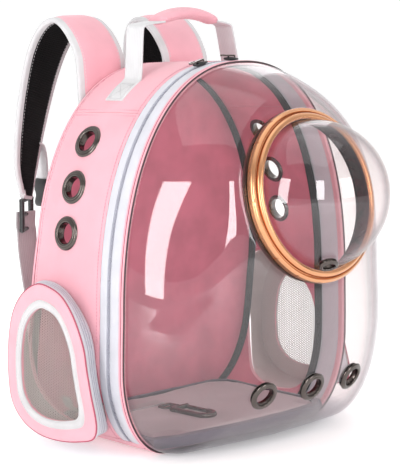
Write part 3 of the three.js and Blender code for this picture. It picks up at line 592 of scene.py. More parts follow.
    def turned(self, profile: Sequence[tuple[float, float]], place: Matrix, sides: int = 64,
               paint: int | Callable[[int, int], int] = 0) -> Form:
        """Adds a closed ring turned about the place's own Y.

        Args:
            profile: radius and height of each point of the closed section.
            place: where it stands.
            sides: faces round it.
            paint: a finish number, or one by row and column.

        Returns:
            This form.
        """
        rows = [[place @ Vector((radius * math.cos(t), along, radius * math.sin(t)))
                 for radius, along in profile]
                for t in (2 * math.pi * k / sides for k in range(sides))]
        return self.skin(rows, loop_rows=True, loop_columns=True, paint=paint)

    def object(self, name: str, angle: float = 50.0) -> bpy.types.Object:
        """Makes the mesh object.

        Args:
            name: its name.
            angle: edges sharper than this many degrees stay crisp.

        Returns:
            The object, at the frame's origin.
        """
        mesh = bpy.data.meshes.new(name)
        mesh.from_pydata(self.points, [], self.faces)
        layer = mesh.uv_layers.new(name="lay")
        layer.uv.foreach_set("vector", [v for face in self.lay for corner in face for v in corner])
        mesh.polygons.foreach_set("material_index", self.paint)
        work = bmesh.new()
        work.from_mesh(mesh)
        bmesh.ops.remove_doubles(work, verts=work.verts, dist=1e-7)
        bmesh.ops.recalc_face_normals(work, faces=work.faces)
        work.to_mesh(mesh)
        work.free()
        soften(mesh, angle)
        made = bpy.data.objects.new(name, mesh)
        bpy.context.scene.collection.objects.link(made)
        return made


def soften(mesh: bpy.types.Mesh, angle: float) -> None:
    """Shades a mesh smooth, with edges sharper than an angle in degrees kept crisp."""
    mesh.polygons.foreach_set("use_smooth", [True] * len(mesh.polygons))
    mesh.set_sharp_from_angle(angle=math.radians(angle))
    mesh.update()


def freeze(made: bpy.types.Object) -> bpy.types.Object:
    """Turns an object's modifiers into its mesh.

    Args:
        made: the object.

    Returns:
        The same object.
    """
    graph = bpy.context.evaluated_depsgraph_get()
    mesh = bpy.data.meshes.new_from_object(made.evaluated_get(graph), preserve_all_data_layers=True,
                                           depsgraph=graph)
    made.modifiers.clear()
    made.data = mesh
    return made


def pierced(made: bpy.types.Object, tools: Iterable[bpy.types.Object]) -> bpy.types.Object:
    """Cuts each tool's shape out of an object and removes the tools.

    Args:
        made: the object that is cut.
        tools: the shapes that are cut out of it.

    Returns:
        The same object.
    """
    for tool in tools:
        cut = made.modifiers.new("cut", "BOOLEAN")
        cut.operation, cut.solver, cut.object = "DIFFERENCE", "EXACT", tool
        freeze(made)
        bpy.data.objects.remove(tool)
    return made


def present(made: bpy.types.Object, body: Body, slot: Slot, finishes: Sequence[Finish],
            *nodes: str) -> bpy.types.Object:
    """Dresses a piece and sets it on its body.

    Args:
        made: the piece.
        body: the body that it rides on.
        slot: the record's material slot; not used.
        finishes: the finishes by their numbers.
        nodes: the solids that it stands for.

    Returns:
        The piece.
    """
    for finish in finishes:
        made.data.materials.append(finish.material)
    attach(made, body.value)
    if nodes:
        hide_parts(*nodes)
    log.info("%s: %d faces", made.name, len(made.data.polygons))
    return made


def puffed(made: bpy.types.Object, voxel: float, pressure: float, cap: float,
           smooth: int = 1) -> bpy.types.Object:
    """Fills a closed form like a stuffed piece, by a cloth simulation.

    Args:
        made: the closed form.
        voxel: size of its new faces.
        pressure: how hard it is filled.
        cap: how far a point may move.
        smooth: rounds of subdivision afterwards.

    Returns:
        The same object with its new mesh.
    """
    remesh = made.modifiers.new("remesh", "REMESH")
    remesh.mode, remesh.voxel_size = "VOXEL", voxel
    freeze(made)
    rest = [v.co.copy() for v in made.data.vertices]
    cloth = made.modifiers.new("cloth", "CLOTH")
    cloth.settings.quality = 4
    cloth.settings.use_pressure = True
    cloth.settings.uniform_pressure_force = pressure
    cloth.settings.effector_weights.gravity = 0
    cloth.point_cache.frame_start, cloth.point_cache.frame_end = 1, 20
    for step in range(1, 21):
        bpy.context.scene.frame_set(step)
    freeze(made)
    bpy.context.scene.frame_set(1)
    for vertex, start in zip(made.data.vertices, rest):
        move = vertex.co - start
        if move.length > cap:
            vertex.co = start + move * (cap / move.length)
    finer = made.modifiers.new("finer", "SUBSURF")
    finer.levels = finer.render_levels = smooth
    freeze(made)
    soften(made.data, 180)
    return made


def smooth_loop(corners: Sequence[tuple[float, float]], count: int) -> list[tuple[float, float]]:
    """Draws an even closed curve through corners.

    Args:
        corners: the points that the curve passes.
        count: how many points it gets.

    Returns:
        The points, evenly spaced.
    """
    dense: list[Vector] = []
    total = len(corners)
    points = [Vector(c) for c in corners]
    for i in range(total):
        a, b, c, d = (points[(i + k - 1) % total] for k in range(4))
        t1 = max((b - a).length, 1e-9) ** 0.5
        t2 = t1 + max((c - b).length, 1e-9) ** 0.5
        t3 = t2 + max((d - c).length, 1e-9) ** 0.5
        for step in range(16):
            t = t1 + (t2 - t1) * step / 16
            ab, bc, cd = a.lerp(b, t / t1), b.lerp(c, (t - t1) / (t2 - t1)), c.lerp(d, (t - t2) / (t3 - t2))
            low, high = ab.lerp(bc, t / t2), bc.lerp(cd, (t - t1) / (t3 - t1))
            dense.append(low.lerp(high, (t - t1) / (t2 - t1)))
    reach = [0.0]
    for i in range(len(dense)):
        reach.append(reach[-1] + (dense[(i + 1) % len(dense)] - dense[i]).length)
    found = []
    for k in range(count):
        want = reach[-1] * k / count
        i = min(len(dense) - 1, max(0, bisect_left(reach, want) - 1))
        share = (want - reach[i]) / max(reach[i + 1] - reach[i], 1e-12)
        point = dense[i].lerp(dense[(i + 1) % len(dense)], share)
        found.append((point.x, point.y))
    return found


def smooth_path(corners: Sequence[Vector], count: int) -> list[Vector]:
    """Draws an even open curve through corners, with its ends on the first and last.

    Args:
        corners: the points that the curve passes.
        count: how many points it gets.

    Returns:
        The points, evenly spaced.
    """
    first = corners[0] * 2 - corners[1]
    last = corners[-1] * 2 - corners[-2]
    points = [first, *corners, last]
    dense: list[Vector] = []
    for i in range(1, len(points) - 2):
        a, b, c, d = points[i - 1:i + 3]
        for step in range(12):
            t = step / 12
            dense.append(0.5 * ((2 * b) + (c - a) * t + (2 * a - 5 * b + 4 * c - d) * t * t
                                + (3 * b - a - 3 * c + d) * t ** 3))
    dense.append(corners[-1].copy())
    reach = [0.0]
    for a, b in zip(dense, dense[1:]):
        reach.append(reach[-1] + (b - a).length)
    found = []
    for k in range(count):
        want = reach[-1] * k / (count - 1)
        i = min(len(dense) - 2, max(0, bisect_left(reach, want) - 1))
        found.append(dense[i].lerp(dense[i + 1], (want - reach[i]) / max(reach[i + 1] - reach[i], 1e-12)))
    return found


def between(low: float, high: float, share: float) -> float:
    """Returns the value at a share of the way."""
    return low + (high - low) * share


def eased(table: Sequence[tuple[float, ...]], column: int, value: float) -> float:
    """Reads a table smoothly by its first column.

    Args:
        table: rows of numbers, in the order of their first column.
        column: the column that is read.
        value: where the first column is met.

    Returns:
        The number between the rows' numbers.
    """
    if value <= table[0][0]:
        return table[0][column]
    for a, b in zip(table, table[1:]):
        if value <= b[0]:
            share = (value - a[0]) / (b[0] - a[0])
            return between(a[column], b[column], share * share * (3 - 2 * share) * 0.5 + share * 0.5)
    return table[-1][column]


# The bag's own form, shared by all its sub-assemblies


@dataclass(frozen=True)
class BagForm:
    """Outline of the fabric body and the places on its gusset."""

    half_width: float = 0.160
    shoulder_half_width: float = 0.1589
    height: float = 0.380
    depth: float = 0.135
    corner_width: float = 0.058
    corner_height: float = 0.087
    arch_start: float = 0.138
    arch_power: float = 2.27
    taper: float = 0.015
    back_swell: float = 0.026
    swell_height: float = 0.210
    cloth: float = 0.003
    gap: float = 0.0003
    flange: float = 0.007
    zip_width: float = 0.028
    zip_start: float = 0.012
    crown_seam: float = 0.332

    @property
    def rim_y(self) -> float:
        """Where the rim stands."""
        return -self.depth / 2

    @cached_property
    def trace(self) -> list[Vector]:
        """The right half of the outline, from the base's middle up to the crown."""
        flat = self.half_width - self.corner_width
        steps = 48
        quarter = math.pi / 2
        points = [Vector((0.0, 0.0))]
        for i in range(steps + 1):
            turn = quarter * i / steps
            points.append(Vector((flat + self.corner_width * math.sin(turn),
                                  self.corner_height * (1 - math.cos(turn)))))
        for i in range(1, steps):
            share = i / steps
            points.append(Vector((between(self.half_width, self.shoulder_half_width, share * share),
                                  between(self.corner_height, self.arch_start, share))))
        power = 2 / self.arch_power
        for i in range(4 * steps + 1):
            turn = quarter * i / (4 * steps)
            points.append(Vector((self.shoulder_half_width * max(0.0, math.cos(turn)) ** power,
                                  between(self.arch_start, self.height, math.sin(turn) ** power))))
        return points

    @cached_property
    def reaches(self) -> list[float]:
        """Distance along the outline to each of its points."""
        reach = [0.0]
        for a, b in zip(self.trace, self.trace[1:]):
            reach.append(reach[-1] + (b - a).length)
        return reach

    @property
    def half_length(self) -> float:
        """Length of half the outline."""
        return self.reaches[-1]

    def outline(self, distance: float) -> Vector:
        """Returns (x, z) at a distance from the base's middle, to the right, up and over.

        Args:
            distance: how far along the outline, positive to the right.

        Returns:
            The point, with x to the right and y up.
        """
        half = self.half_length
        wrapped = (distance + half) % (2 * half) - half
        along = min(abs(wrapped), half)
        i = min(len(self.trace) - 1, max(1, bisect_left(self.reaches, along)))
        low, high = self.reaches[i - 1], self.reaches[i]
        point = self.trace[i - 1].lerp(self.trace[i], (along - low) / max(high - low, 1e-12))
        return Vector((math.copysign(point.x, wrapped) if point.x else 0.0, point.y))

    def normal(self, distance: float) -> Vector:
        """Returns the outline's outward direction, as (x, z)."""
        step = self.outline(distance + 0.003) - self.outline(distance - 0.003)
        return Vector((step.y, -step.x)).normalized()

    def out(self, distance: float) -> Vector:
        """Returns the gusset's outward direction."""
        normal = self.normal(distance)
        return Vector((normal.x, 0.0, normal.y))

    def distance_at(self, height: float) -> float:
        """Returns the distance along the right half at which the outline reaches a height.

        Args:
            height: the height.

        Returns:
            The distance.
        """
        for i, point in enumerate(self.trace):
            if point.y >= height and point.y > 0:
                low = self.trace[i - 1]
                share = (height - low.y) / (point.y - low.y)
                return between(self.reaches[i - 1], self.reaches[i], share)
        return self.half_length

    def wall_x(self, height: float) -> float:
        """Returns the outline's half width at a height."""
        return self.outline(self.distance_at(height)).x

    def back_offset(self, height: float) -> float:
        """Returns how far behind the rim the back panel stands at a height."""
        low = min(1.0, max(0.0, 1 - height / self.swell_height))
        return self.depth + self.back_swell * low ** 1.2

    def back_face(self, height: float) -> float:
        """Returns the back panel's outer y at a height."""
        return self.rim_y + self.back_offset(height) + 0.004

    def panel_end(self, height: float) -> float:
        """Returns how far behind the rim the gusset ends at a height."""
        return self.back_offset(height + 0.0053) - self.gap

    def wall(self, distance: float, offset: float, inset: float = 0.0) -> Vector:
        """Returns a point of the gusset.

        Args:
            distance: along the outline.
            offset: behind the rim.
            inset: inward from the outer face.
        """
        point = self.outline(distance) - self.normal(distance) * inset
        narrowing = 1 - self.taper * (offset / self.depth)
        return Vector((point.x * narrowing, self.rim_y + offset, point.y * narrowing))

    def spread(self, start: float, end: float, step: float) -> list[float]:
        """Returns even distances from start to end, about a step apart."""
        count = max(2, round((end - start) / step))
        return [between(start, end, i / count) for i in range(count + 1)]

    def round(self, step: float) -> list[float]:
        """Returns even distances once round the outline."""
        count = round(2 * self.half_length / step)
        return [2 * self.half_length * i / count for i in range(count)]


FORM = BagForm()


@dataclass
class Gusset:
    """Base, side and top panels with their lining, eyelet holes and doorways."""

    step: float = 0.005
    columns: int = 22
    fullness: float = 0.0012
    ruffle: float = 0.0007
    eyelet_offset: float = 0.090
    eyelet_heights: tuple[float, float, float] = (0.304, 0.260, 0.215)
    eyelet_hole: float = 0.0127

    def outer_inset(self, distance: float, offset: float, share: float) -> float:
        """Returns how far in the cloth's outer face lies: fuller between its seams, and ruffled.

        Args:
            distance: how far along the outline.
            offset: how far back.
            share: how far across the cloth, from 0 to 1.

        Returns:
            The inset.
        """
        fuller = math.sin(math.pi * share) ** 0.6 * self.fullness
        place = FORM.wall(distance, offset)
        soft = noise.noise(place * 21) * self.ruffle * math.sin(math.pi * share)
        pucker = math.sin(distance * 2 * math.pi / 0.009 + 3 * noise.noise(place * 40)) * 0.00022
        near = math.exp(-min(share, 1 - share) * 14)
        return -(fuller + soft + pucker * near)

    def panel(self, stations: Sequence[float], start: float) -> Form:
        """Makes one panel between the zipper band and the back seam.

        Args:
            stations: distances along the outline.
            start: where it starts behind the rim.

        Returns:
            Its form, with the outside as finish 0 and the lining as finish 1.
        """
        rows: Rows = []
        soft = 0.0007
        for distance in stations:
            end = FORM.panel_end(FORM.outline(distance).y)
            outer = []
            for j in range(self.columns + 1):
                share = j / self.columns
                offset = between(start, end, share)
                edge = soft * max(0.0, 1 - min(share, 1 - share) * self.columns)
                outer.append(FORM.wall(distance, offset, self.outer_inset(distance, offset, share) + edge))
            inner = [FORM.wall(distance, between(start, end, 1 - j / 8), FORM.cloth) for j in range(9)]
            rows.append(outer + inner)
        return Form().skin(rows, loop_columns=True, capped=True,
                           paint=lambda i, j: 0 if j < self.columns + 1 else 1)

    def eyelet_place(self, side: int, height: float) -> Matrix:
        """Returns where a side eyelet sits, with its own Y outward."""
        distance = side * FORM.distance_at(height)
        out = FORM.out(distance)
        return standing(FORM.wall(distance, self.eyelet_offset), out)

    def build(self) -> None:
        """Builds and dresses the panels."""
        start = FORM.flange + FORM.zip_width + 2 * FORM.gap
        low = FORM.distance_at(FORM.zip_start)
        high = FORM.distance_at(FORM.crown_seam)
        half = FORM.half_length
        base = self.panel(FORM.spread(-low, low, self.step), FORM.flange + FORM.gap)
        # the base's lining carries the dark slate of painted shade
        present(base.object("base_cloth"), Body.BAG, Slot.PINK, (PINK, SLATE_PAINTED_SHADE), "base_panel")
        top = self.panel(FORM.spread(high + 0.0002, 2 * half - high - 0.0002, self.step), start)
        present(top.object("top_cloth"), Body.BAG, Slot.PINK, (PINK, LINING), "top_panel")
        for side, name in ((1, "right"), (-1, "left")):
            run = [side * d for d in FORM.spread(low + FORM.gap, high - 0.0002, self.step)]
            cloth = self.panel(run, start)
            made = cloth.object(f"side_cloth_{name}")
            tools = [cylinder(self.eyelet_place(side, h), self.eyelet_hole, 0.03)
                     for h in self.eyelet_heights]
            tools.append(DOOR.doorway(side))
            pierced(made, tools)
            soften(made.data, 40)
            present(made, Body.BAG, Slot.PINK, (PINK, LINING), f"side_panel_{name}")
        self.stitch(start, high)

    def stitch(self, start: float, high: float) -> None:
        """Adds the seams that show on the gusset: along both edges and over the crown's joins.

        Args:
            start: the cloth's front edge.
            high: the distance of the crown's joins.
        """
        seam = Form()
        for offset_of in (lambda d: start + 0.0035, lambda d: FORM.panel_end(FORM.outline(d).y) - 0.004):
            path = [FORM.wall(d, offset_of(d), -0.0004) for d in FORM.round(0.004)
                    if FORM.outline(d).y > FORM.zip_start or offset_of(d) > 0.1]
            outs = [FORM.out(d) for d in FORM.round(0.004)
                    if FORM.outline(d).y > FORM.zip_start or offset_of(d) > 0.1]
            seam.stitches(path, outs, loop=False)
        for side in (1, -1):
            for shift in (-0.0035, 0.0035):
                distance = side * (high + shift)
                run = [between(start, FORM.panel_end(FORM.outline(distance).y), i / 40) for i in range(2, 39)]
                seam.stitches([FORM.wall(distance, o, -0.0009) for o in run], [FORM.out(distance)] * len(run))
        present(seam.object("gusset_stitches"), Body.BAG, Slot.PINK, (THREAD,))


def standing(place: Vector, axis: Vector) -> Matrix:
    """Returns a frame at a place whose own Y is the axis.

    Args:
        place: the frame's origin.
        axis: the direction of its own Y.

    Returns:
        The frame.
    """
    axis = axis.normalized()
    side = axis.cross(Vector((0.13, 0.22, 0.97))).normalized()
    third = side.cross(axis)
    turn = Matrix((side, axis, third)).transposed().to_4x4()
    return Matrix.Translation(place) @ turn


def cylinder(place: Matrix, radius: float, reach: float, sides: int = 48) -> bpy.types.Object:
    """Makes a cutting rod about a place's own Y.

    Args:
        place: the frame whose Y is the rod's axis.
        radius: the rod's radius.
        reach: how far it goes along its axis.
        sides: faces round it.

    Returns:
        The rod.
    """
    rows = [[place @ Vector((radius * math.cos(2 * math.pi * k / sides), y,
                             radius * math.sin(2 * math.pi * k / sides))) for k in range(sides)]
            for y in (-reach, reach)]
    return Form().skin(rows, loop_columns=True, capped=True).object("cutter")


@dataclass
class Rim:
    """Pink flange round the clear front, its two piped rolls with painted shade in the groove between them,
    and the dark gasket line.
    """

    section: tuple[tuple[float, float], ...] = (
        (0.0002, 0.0030), (0.0002, 0.0008), (0.0006, 0.0001), (0.0014, -0.0005), (0.0024, -0.0006),
        (0.0031, -0.0001), (0.0034, 0.0006), (0.0038, 0.0006), (0.0041, -0.0001), (0.0049, -0.0006),
        (0.0059, -0.0005), (0.0066, 0.0001), (0.0069, 0.0008), (0.0069, 0.0034), (0.0062, 0.0040),
        (0.0010, 0.0040))

    def build(self) -> None:
        """Builds and dresses the rim."""
        stations = FORM.round(0.005)
        rows = [[FORM.wall(d, offset, inset) for offset, inset in self.section] for d in stations]
        # painted shade: the groove between the two rolls is coloured dark red
        groove = (5, 6, 7)
        form = Form().skin(rows, loop_rows=True, loop_columns=True,
                           paint=lambda i, j: 1 if j in groove else 0)
        present(form.object("rim_cloth"), Body.BAG, Slot.PINK, (PINK, SEAM_SHADE), "rim_flange")
        line = [FORM.wall(d, -0.0001, 0.0007) for d in stations]
        gasket = Form().rod(line, 0.0009, 6, loop=True)
        present(gasket.object("rim_gasket"), Body.BAG, Slot.PINK, (GASKET,))


@dataclass
class FrontZip:
    """Long zipper behind the rim: two pale tapes with the closed coil between them."""

    width: float = 0.028
    coil: float = 0.0032
    coil_at: float = 0.0145
    pitch: float = 0.0021

    def build(self) -> None:
        """Builds and dresses the zipper."""
        start = FORM.flange + FORM.gap
        low = FORM.distance_at(FORM.zip_start) + FORM.gap
        stations = FORM.spread(low, 2 * FORM.half_length - low, 0.005)
        section = self.section(start)
        rows = [[FORM.wall(d, offset, inset) for offset, inset, _ in section] for d in stations]
        form = Form().skin(rows, loop_columns=True, capped=True, paint=lambda i, j: section[j][2])
        present(form.object("zip_tapes"), Body.BAG, Slot.TAPE, (ZIP_TAPE, ZIP_COIL), "zipper_band")
        teeth = Form()
        middle = start + self.coil_at
        run = FORM.spread(low + 0.002, 2 * FORM.half_length - low - 0.002, self.pitch)
        for i, distance in enumerate(run):
            out = FORM.out(distance)
            along = out.cross(Vector((0, 1, 0))).normalized()
            place = FORM.wall(distance, middle + (0.0006 if i % 2 else -0.0006), 0.0001)
            teeth.block(place, (along, Vector((0, 1, 0)), out), (0.0013, 0.0022, 0.0012), 0.7)
        present(teeth.object("zip_coil"), Body.BAG, Slot.TAPE, (ZIP_COIL,))

    def section(self, start: float) -> list[tuple[float, float, int]]:
        """Returns the tapes' section: offset, inset and finish of each point.

        Args:
            start: the front tape's edge.

        Returns:
            The points in order round the section.
        """
        half, middle = self.coil / 2, start + self.coil_at
        end = start + self.width
        points = [(start, 0.0008, 0), (start + 0.001, 0.0001, 0)]
        points += [(between(start + 0.001, middle - half - 0.0009, i / 4),
                    -0.0003 * math.sin(math.pi * i / 4), 0) for i in range(1, 4)]
        points += [(middle - half - 0.0009, 0.0, 1), (middle - half - 0.0002, 0.0008, 1),
                   (middle - half + 0.0003, 0.0009, 1), (middle + half - 0.0003, 0.0009, 1),
                   (middle + half + 0.0002, 0.0008, 1), (middle + half + 0.0009, 0.0, 0)]
        points += [(between(middle + half + 0.0009, end - 0.001, i / 4),
                    -0.0003 * math.sin(math.pi * i / 4), 0) for i in range(1, 4)]
        points += [(end - 0.001, 0.0001, 0), (end, 0.0008, 0), (end, 0.0028, 0), (start, 0.0028, 0)]
        return points


@dataclass
class SeamBindings:
    """Dark bindings that cover the two inner seams of the gusset."""

    width: float = 0.010
    thickness: float = 0.002

    def strip(self, name: str, node: str, start: Callable[[float], float]) -> None:
        """Builds one binding.

        Args:
            name: the piece's name.
            node: the solid that it stands for.
            start: its front edge behind the rim, by the outline's height.
        """
        inset = FORM.cloth + FORM.gap
        rows: Rows = []
        for distance in FORM.round(0.004):
            first = start(FORM.outline(distance).y)
            wave = noise.noise(FORM.wall(distance, first) * 70) * 0.0004
            section = [(0.0, 0.0006), (0.0008, 0.0), (0.0092, 0.0), (0.0100, 0.0006), (0.0098, 0.0013),
                       (0.0085, 0.0018), (0.0050, 0.0021), (0.0015, 0.0018), (0.0002, 0.0013)]
            rows.append([FORM.wall(distance, first + across * self.width / 0.010, inset + deep + (
                wave if deep > 0.001 else 0.0)) for across, deep in section])
        form = Form().skin(rows, loop_rows=True, loop_columns=True)
        present(form.object(name), Body.BAG, Slot.BINDING, (DARK_BINDING,), node)

    def build(self) -> None:
        """Builds and dresses both bindings."""
        self.strip("binding_back", "back_seam_binding", lambda height: FORM.panel_end(height) - self.width)
        middle = FORM.flange + FORM.zip_width
        self.strip("binding_front", "front_seam_binding", lambda height: middle - self.width / 2)


@dataclass
class BackPanel:
    """Padded back panel with a stitched border."""

    crown: float = 0.0022
    columns: int = 36

    def build(self) -> None:
        """Builds and dresses the panel."""
        flat = FORM.half_width - FORM.corner_width
        stations = FORM.spread(flat, FORM.half_length - 0.002, 0.005)
        rows: Rows = []
        for distance in stations:
            edge = FORM.wall(distance, FORM.depth, 0.0005)
            height = FORM.outline(distance).y
            y = FORM.rim_y + FORM.back_offset(height)
            x, z = max(edge.x, 0.001), max(edge.z, 0.0004)
            outer, inner = [], []
            for j in range(self.columns + 1):
                share = 1 - 2 * j / self.columns
                reach = min(1.0, (1 - abs(share)) * x / 0.018, max(0.0, height) / 0.02 + 0.05,
                            (FORM.height - height) / 0.02 + 0.05)
                rise = self.crown * math.sin(reach * math.pi / 2) - 0.0012 * (1 - min(1.0, reach * 6))
                rise += noise.noise(Vector((share * x, height, 0.4)) * 18) * 0.0005 * reach
                outer.append(Vector((share * x, y + 0.004 + rise, z)))
                inner.append(Vector((-share * x, y, z)))
            rows.append(outer + inner[::4])
        form = Form().skin(rows, loop_columns=True, capped=True,
                           paint=lambda i, j: 0 if j < self.columns + 1 else 1)
        present(form.object("back_cloth", 60), Body.BAG, Slot.PINK, (PINK, LINING), "back_panel")
        seam = Form()
        path, outs = [], []
        for distance in FORM.spread(-FORM.half_length + 0.002, FORM.half_length - 0.002, 0.004):
            edge = FORM.wall(distance, FORM.depth, 0.009)
            height = FORM.outline(distance).y
            path.append(Vector((edge.x, FORM.back_face(height) + 0.0004, max(edge.z, 0.009))))
            outs.append(Vector((0, 1, 0)))
        seam.stitches(path, outs)
        present(seam.object("back_stitches"), Body.BAG, Slot.PINK, (THREAD,))


@dataclass
class SideDoor:
    """Zipped door that stands proud of the side, with its window of net."""

    width: float = 0.134
    height: float = 0.151
    foot: float = 0.0138
    front: float = 0.0128
    stand: float = 0.024
    border: float = 0.0145
    drop: float = 0.003
    trim: float = 0.0082
    steps: int = 132
    edge: tuple[tuple[float, float], ...] = (
        (0.03, 0.08), (0, 0.15), (0.06, 0.36), (0.10, 0.5), (0.13, 0.63), (0.19, 0.75), (0.27, 0.86),
        (0.38, 0.95), (0.5, 0.99), (0.65, 1), (0.82, 0.92), (0.94, 0.78), (1, 0.55), (1, 0.34), (0.96, 0.18),
        (0.84, 0.07), (0.66, 0.01), (0.44, 0), (0.2, 0.03))
    seam_edge: tuple[tuple[float, float], ...] = (
        (-0.027, 0.027), (-0.032, 0.045), (-0.032, 0.068), (-0.029, 0.092), (-0.026, 0.110), (-0.020, 0.124),
        (-0.010, 0.137), (0.002, 0.148), (0.016, 0.158), (0.036, 0.164), (0.056, 0.163), (0.072, 0.154),
        (0.079, 0.138), (0.079, 0.110), (0.076, 0.080), (0.070, 0.052), (0.056, 0.028), (0.032, 0.017),
        (0.0, 0.015), (-0.018, 0.0185))

    @property
    def face_x(self) -> float:
        """Outer face of the door."""
        return FORM.half_width + self.stand

    def outline(self, inset: float, drop: float = 0.0) -> list[tuple[float, float]]:
        """Returns the door's outline as (y, z), drawn in by an inset and lowered at its foot.

        Args:
            inset: how far it is drawn in.
            drop: how far its foot is lowered.

        Returns:
            The points in order.
        """
        wide, high = self.width - 2 * inset, self.height - 2 * inset + drop
        left = FORM.rim_y + self.front + inset
        low = self.foot + inset - drop
        return smooth_loop([(left + u * wide, low + v * high) for u, v in self.edge], self.steps)

    def seam(self, inset: float) -> list[tuple[float, float]]:
        """Returns where the zipped strip is sewn to the side panel, as (y, z), drawn in by an inset."""
        loop = smooth_loop(list(self.seam_edge), self.steps)
        return [Vector(p).lerp(Vector((0.024, 0.088)), inset / 0.06) for p in loop]

    def doorway(self, side: int) -> bpy.types.Object:
        """Makes the tool that cuts the doorway."""
        edge = self.seam(0.0008)
        rows = [[Vector((side * x, y, z)) for y, z in edge] for x in (0.09, 0.22)]
        return Form().skin(rows, loop_columns=True, capped=True).object("cutter")

    def strip(self, side: int, name: str) -> None:
        """Builds the zipped strip from the panel out to the face.

        Args:
            side: 1 for the right, -1 for the left.
            name: the side's name, for the piece names.
        """
        outer, seam = self.outline(0), self.seam(0)
        inner, seam_in = self.outline(0.002), self.seam(0.002)
        far = self.face_x - 0.0033
        levels = ((0.0, 0.0008, 0), (0.04, 0.0, 0), (0.22, -0.0003, 0), (0.27, 0.0, 1), (0.29, 0.0007, 1),
                  (0.31, 0.0007, 1), (0.33, 0.0, 0), (0.42, -0.0003, 0), (0.47, 0.0, 1), (0.49, 0.0007, 1),
                  (0.53, 0.0007, 1), (0.55, 0.0, 0), (0.64, -0.0003, 0), (0.69, 0.0, 1), (0.71, 0.0007, 1),
                  (0.73, 0.0007, 1), (0.75, 0.0, 0), (0.9, -0.0003, 0), (0.97, 0.0, 0), (1.0, 0.0007, 0))
        rows: Rows = []
        for i in range(self.steps):
            foot = Vector((FORM.wall_x(seam[i][1]) + 0.0003, seam[i][0], seam[i][1]))
            head = Vector((far, *outer[i]))
            foot_in = Vector((FORM.wall_x(seam_in[i][1]) + 0.0003, seam_in[i][0], seam_in[i][1]))
            head_in = Vector((far, *inner[i]))
            before, after = outer[i - 1], outer[(i + 1) % self.steps]
            out = Vector((0, before[1] - after[1], after[0] - before[0])).normalized()
            row = []
            for share, inset, _ in levels:
                row.append(foot.lerp(head, share) - out * inset)
            row += [foot_in.lerp(head_in, 1 - k / 4) for k in range(5)]
            rows.append([Vector((side * p.x, p.y, p.z)) for p in row])
        count = len(levels)
        form = Form().skin(rows, loop_rows=True, loop_columns=True,
                           paint=lambda i, j: levels[j][2] if j < count else 2)
        present(form.object(f"door_{name}_zip"), Body.BAG, Slot.TAPE, (ZIP_TAPE, ZIP_COIL, TAUPE),
                f"door_{name}_gusset")

    def face(self, side: int, name: str) -> None:
        """Builds the padded face round the window.

        Args:
            side: 1 for the right, -1 for the left.
            name: the side's name, for the piece names.
        """
        outer = self.outline(0)
        window = self.outline(self.border + self.trim, self.drop)
        section = ((0.0, 0.0022), (0.008, 0.0013), (0.03, 0.0005), (0.06, 0.0001), (0.12, -0.0002),
                   (0.3, -0.0008), (0.5, -0.0009), (0.7, -0.0006), (0.9, 0.0), (1.0, 0.0004),
                   (1.0, 0.003), (0.5, 0.003), (0.0, 0.003))
        rows: Rows = []
        for i in range(self.steps):
            a, b = Vector(outer[i]), Vector(window[i])
            row = []
            for share, deep in section:
                flat = a.lerp(b, share)
                soft = noise.noise(Vector((flat.x, flat.y, side)) * 45) * 0.0003 if 0.1 < share < 0.9 else 0.0
                row.append(Vector((side * (self.face_x - deep + soft), flat.x, flat.y)))
            rows.append(row)
        form = Form().skin(rows, loop_rows=True, loop_columns=True, paint=lambda i, j: 1 if j > 9 else 0)
        present(form.object(f"door_{name}_cloth"), Body.BAG, Slot.PINK, (PINK, TAUPE), f"door_{name}_face")
        # The piping round the door face is coloured dark red as painted shade.
        piping = [Vector((side * (self.face_x - 0.0016), *p)) for p in self.outline(-0.0001)]
        line = Form().rod(piping, 0.0008, 6, loop=True)
        present(line.object(f"door_{name}_piping"), Body.BAG, Slot.PINK, (SEAM_SHADE,))

    def window(self, side: int, name: str) -> None:
        """Builds the white trim round the window and the net in it.

        Args:
            side: 1 for the right, -1 for the left.
            name: the side's name, for the piece names.
        """
        outer = self.outline(self.border, self.drop)
        inner = self.outline(self.border + self.trim, self.drop)
        section = ((0.0, -0.0003), (0.03, -0.0013), (0.12, -0.0019), (0.5, -0.0021), (0.88, -0.0019),
                   (0.98, -0.0013), (1.0, -0.0003), (0.5, -0.0003))
        rows = [[Vector((side * (self.face_x - deep), *Vector(outer[i]).lerp(Vector(inner[i]), share)))
                 for share, deep in section] for i in range(self.steps)]
        form = Form().skin(rows, loop_rows=True, loop_columns=True)
        present(form.object(f"door_{name}_trim"), Body.BAG, Slot.TAPE, (WHITE_TRIM,), f"door_{name}_binding")
        seam = Form()
        for inset in (self.border + 0.0016, self.border + self.trim - 0.0016):
            path = [Vector((side * (self.face_x + 0.0021), *p)) for p in self.outline(inset, self.drop)]
            seam.stitches(path, [Vector((side, 0, 0))] * len(path), loop=True)
        present(seam.object(f"door_{name}_stitches"), Body.BAG, Slot.TAPE, (WHITE_TRIM,))
        self.net(side, name)

    def net(self, side: int, name: str, pitch: float = 0.0026) -> None:
        """Builds the net: upright zigzag cords that meet their neighbours, as in a knitted mesh.

        Args:
            side: 1 for the right, -1 for the left.
            name: the side's name, for the piece names.
            pitch: from cord to cord.
        """
        edge = self.outline(self.border + self.trim - 0.001, self.drop)
        ys, zs = [p[0] for p in edge], [p[1] for p in edge]
        x = side * (self.face_x - 0.0022)
        net = Form()
        columns = int((max(ys) - min(ys)) / pitch)
        for k in range(1, columns):
            y = min(ys) + k * pitch
            low, high = span(edge, y)
            if high - low < 0.004:
                continue
            count = max(2, int((high - low) / (pitch * 0.5)))
            path = []
            for i in range(count + 1):
                z = between(low, high, i / count)
                step = round(z / (pitch * 0.5))
                sway = pitch * 0.36 * (1 if step % 2 else -1) * (1 if k % 2 else -1)
                path.append(Vector((x, y + sway, z)))
            net.rod(path, 0.00055, 4)
        present(net.object(f"door_{name}_net", 180), Body.BAG, Slot.NET, (NET,), f"door_{name}_mesh")

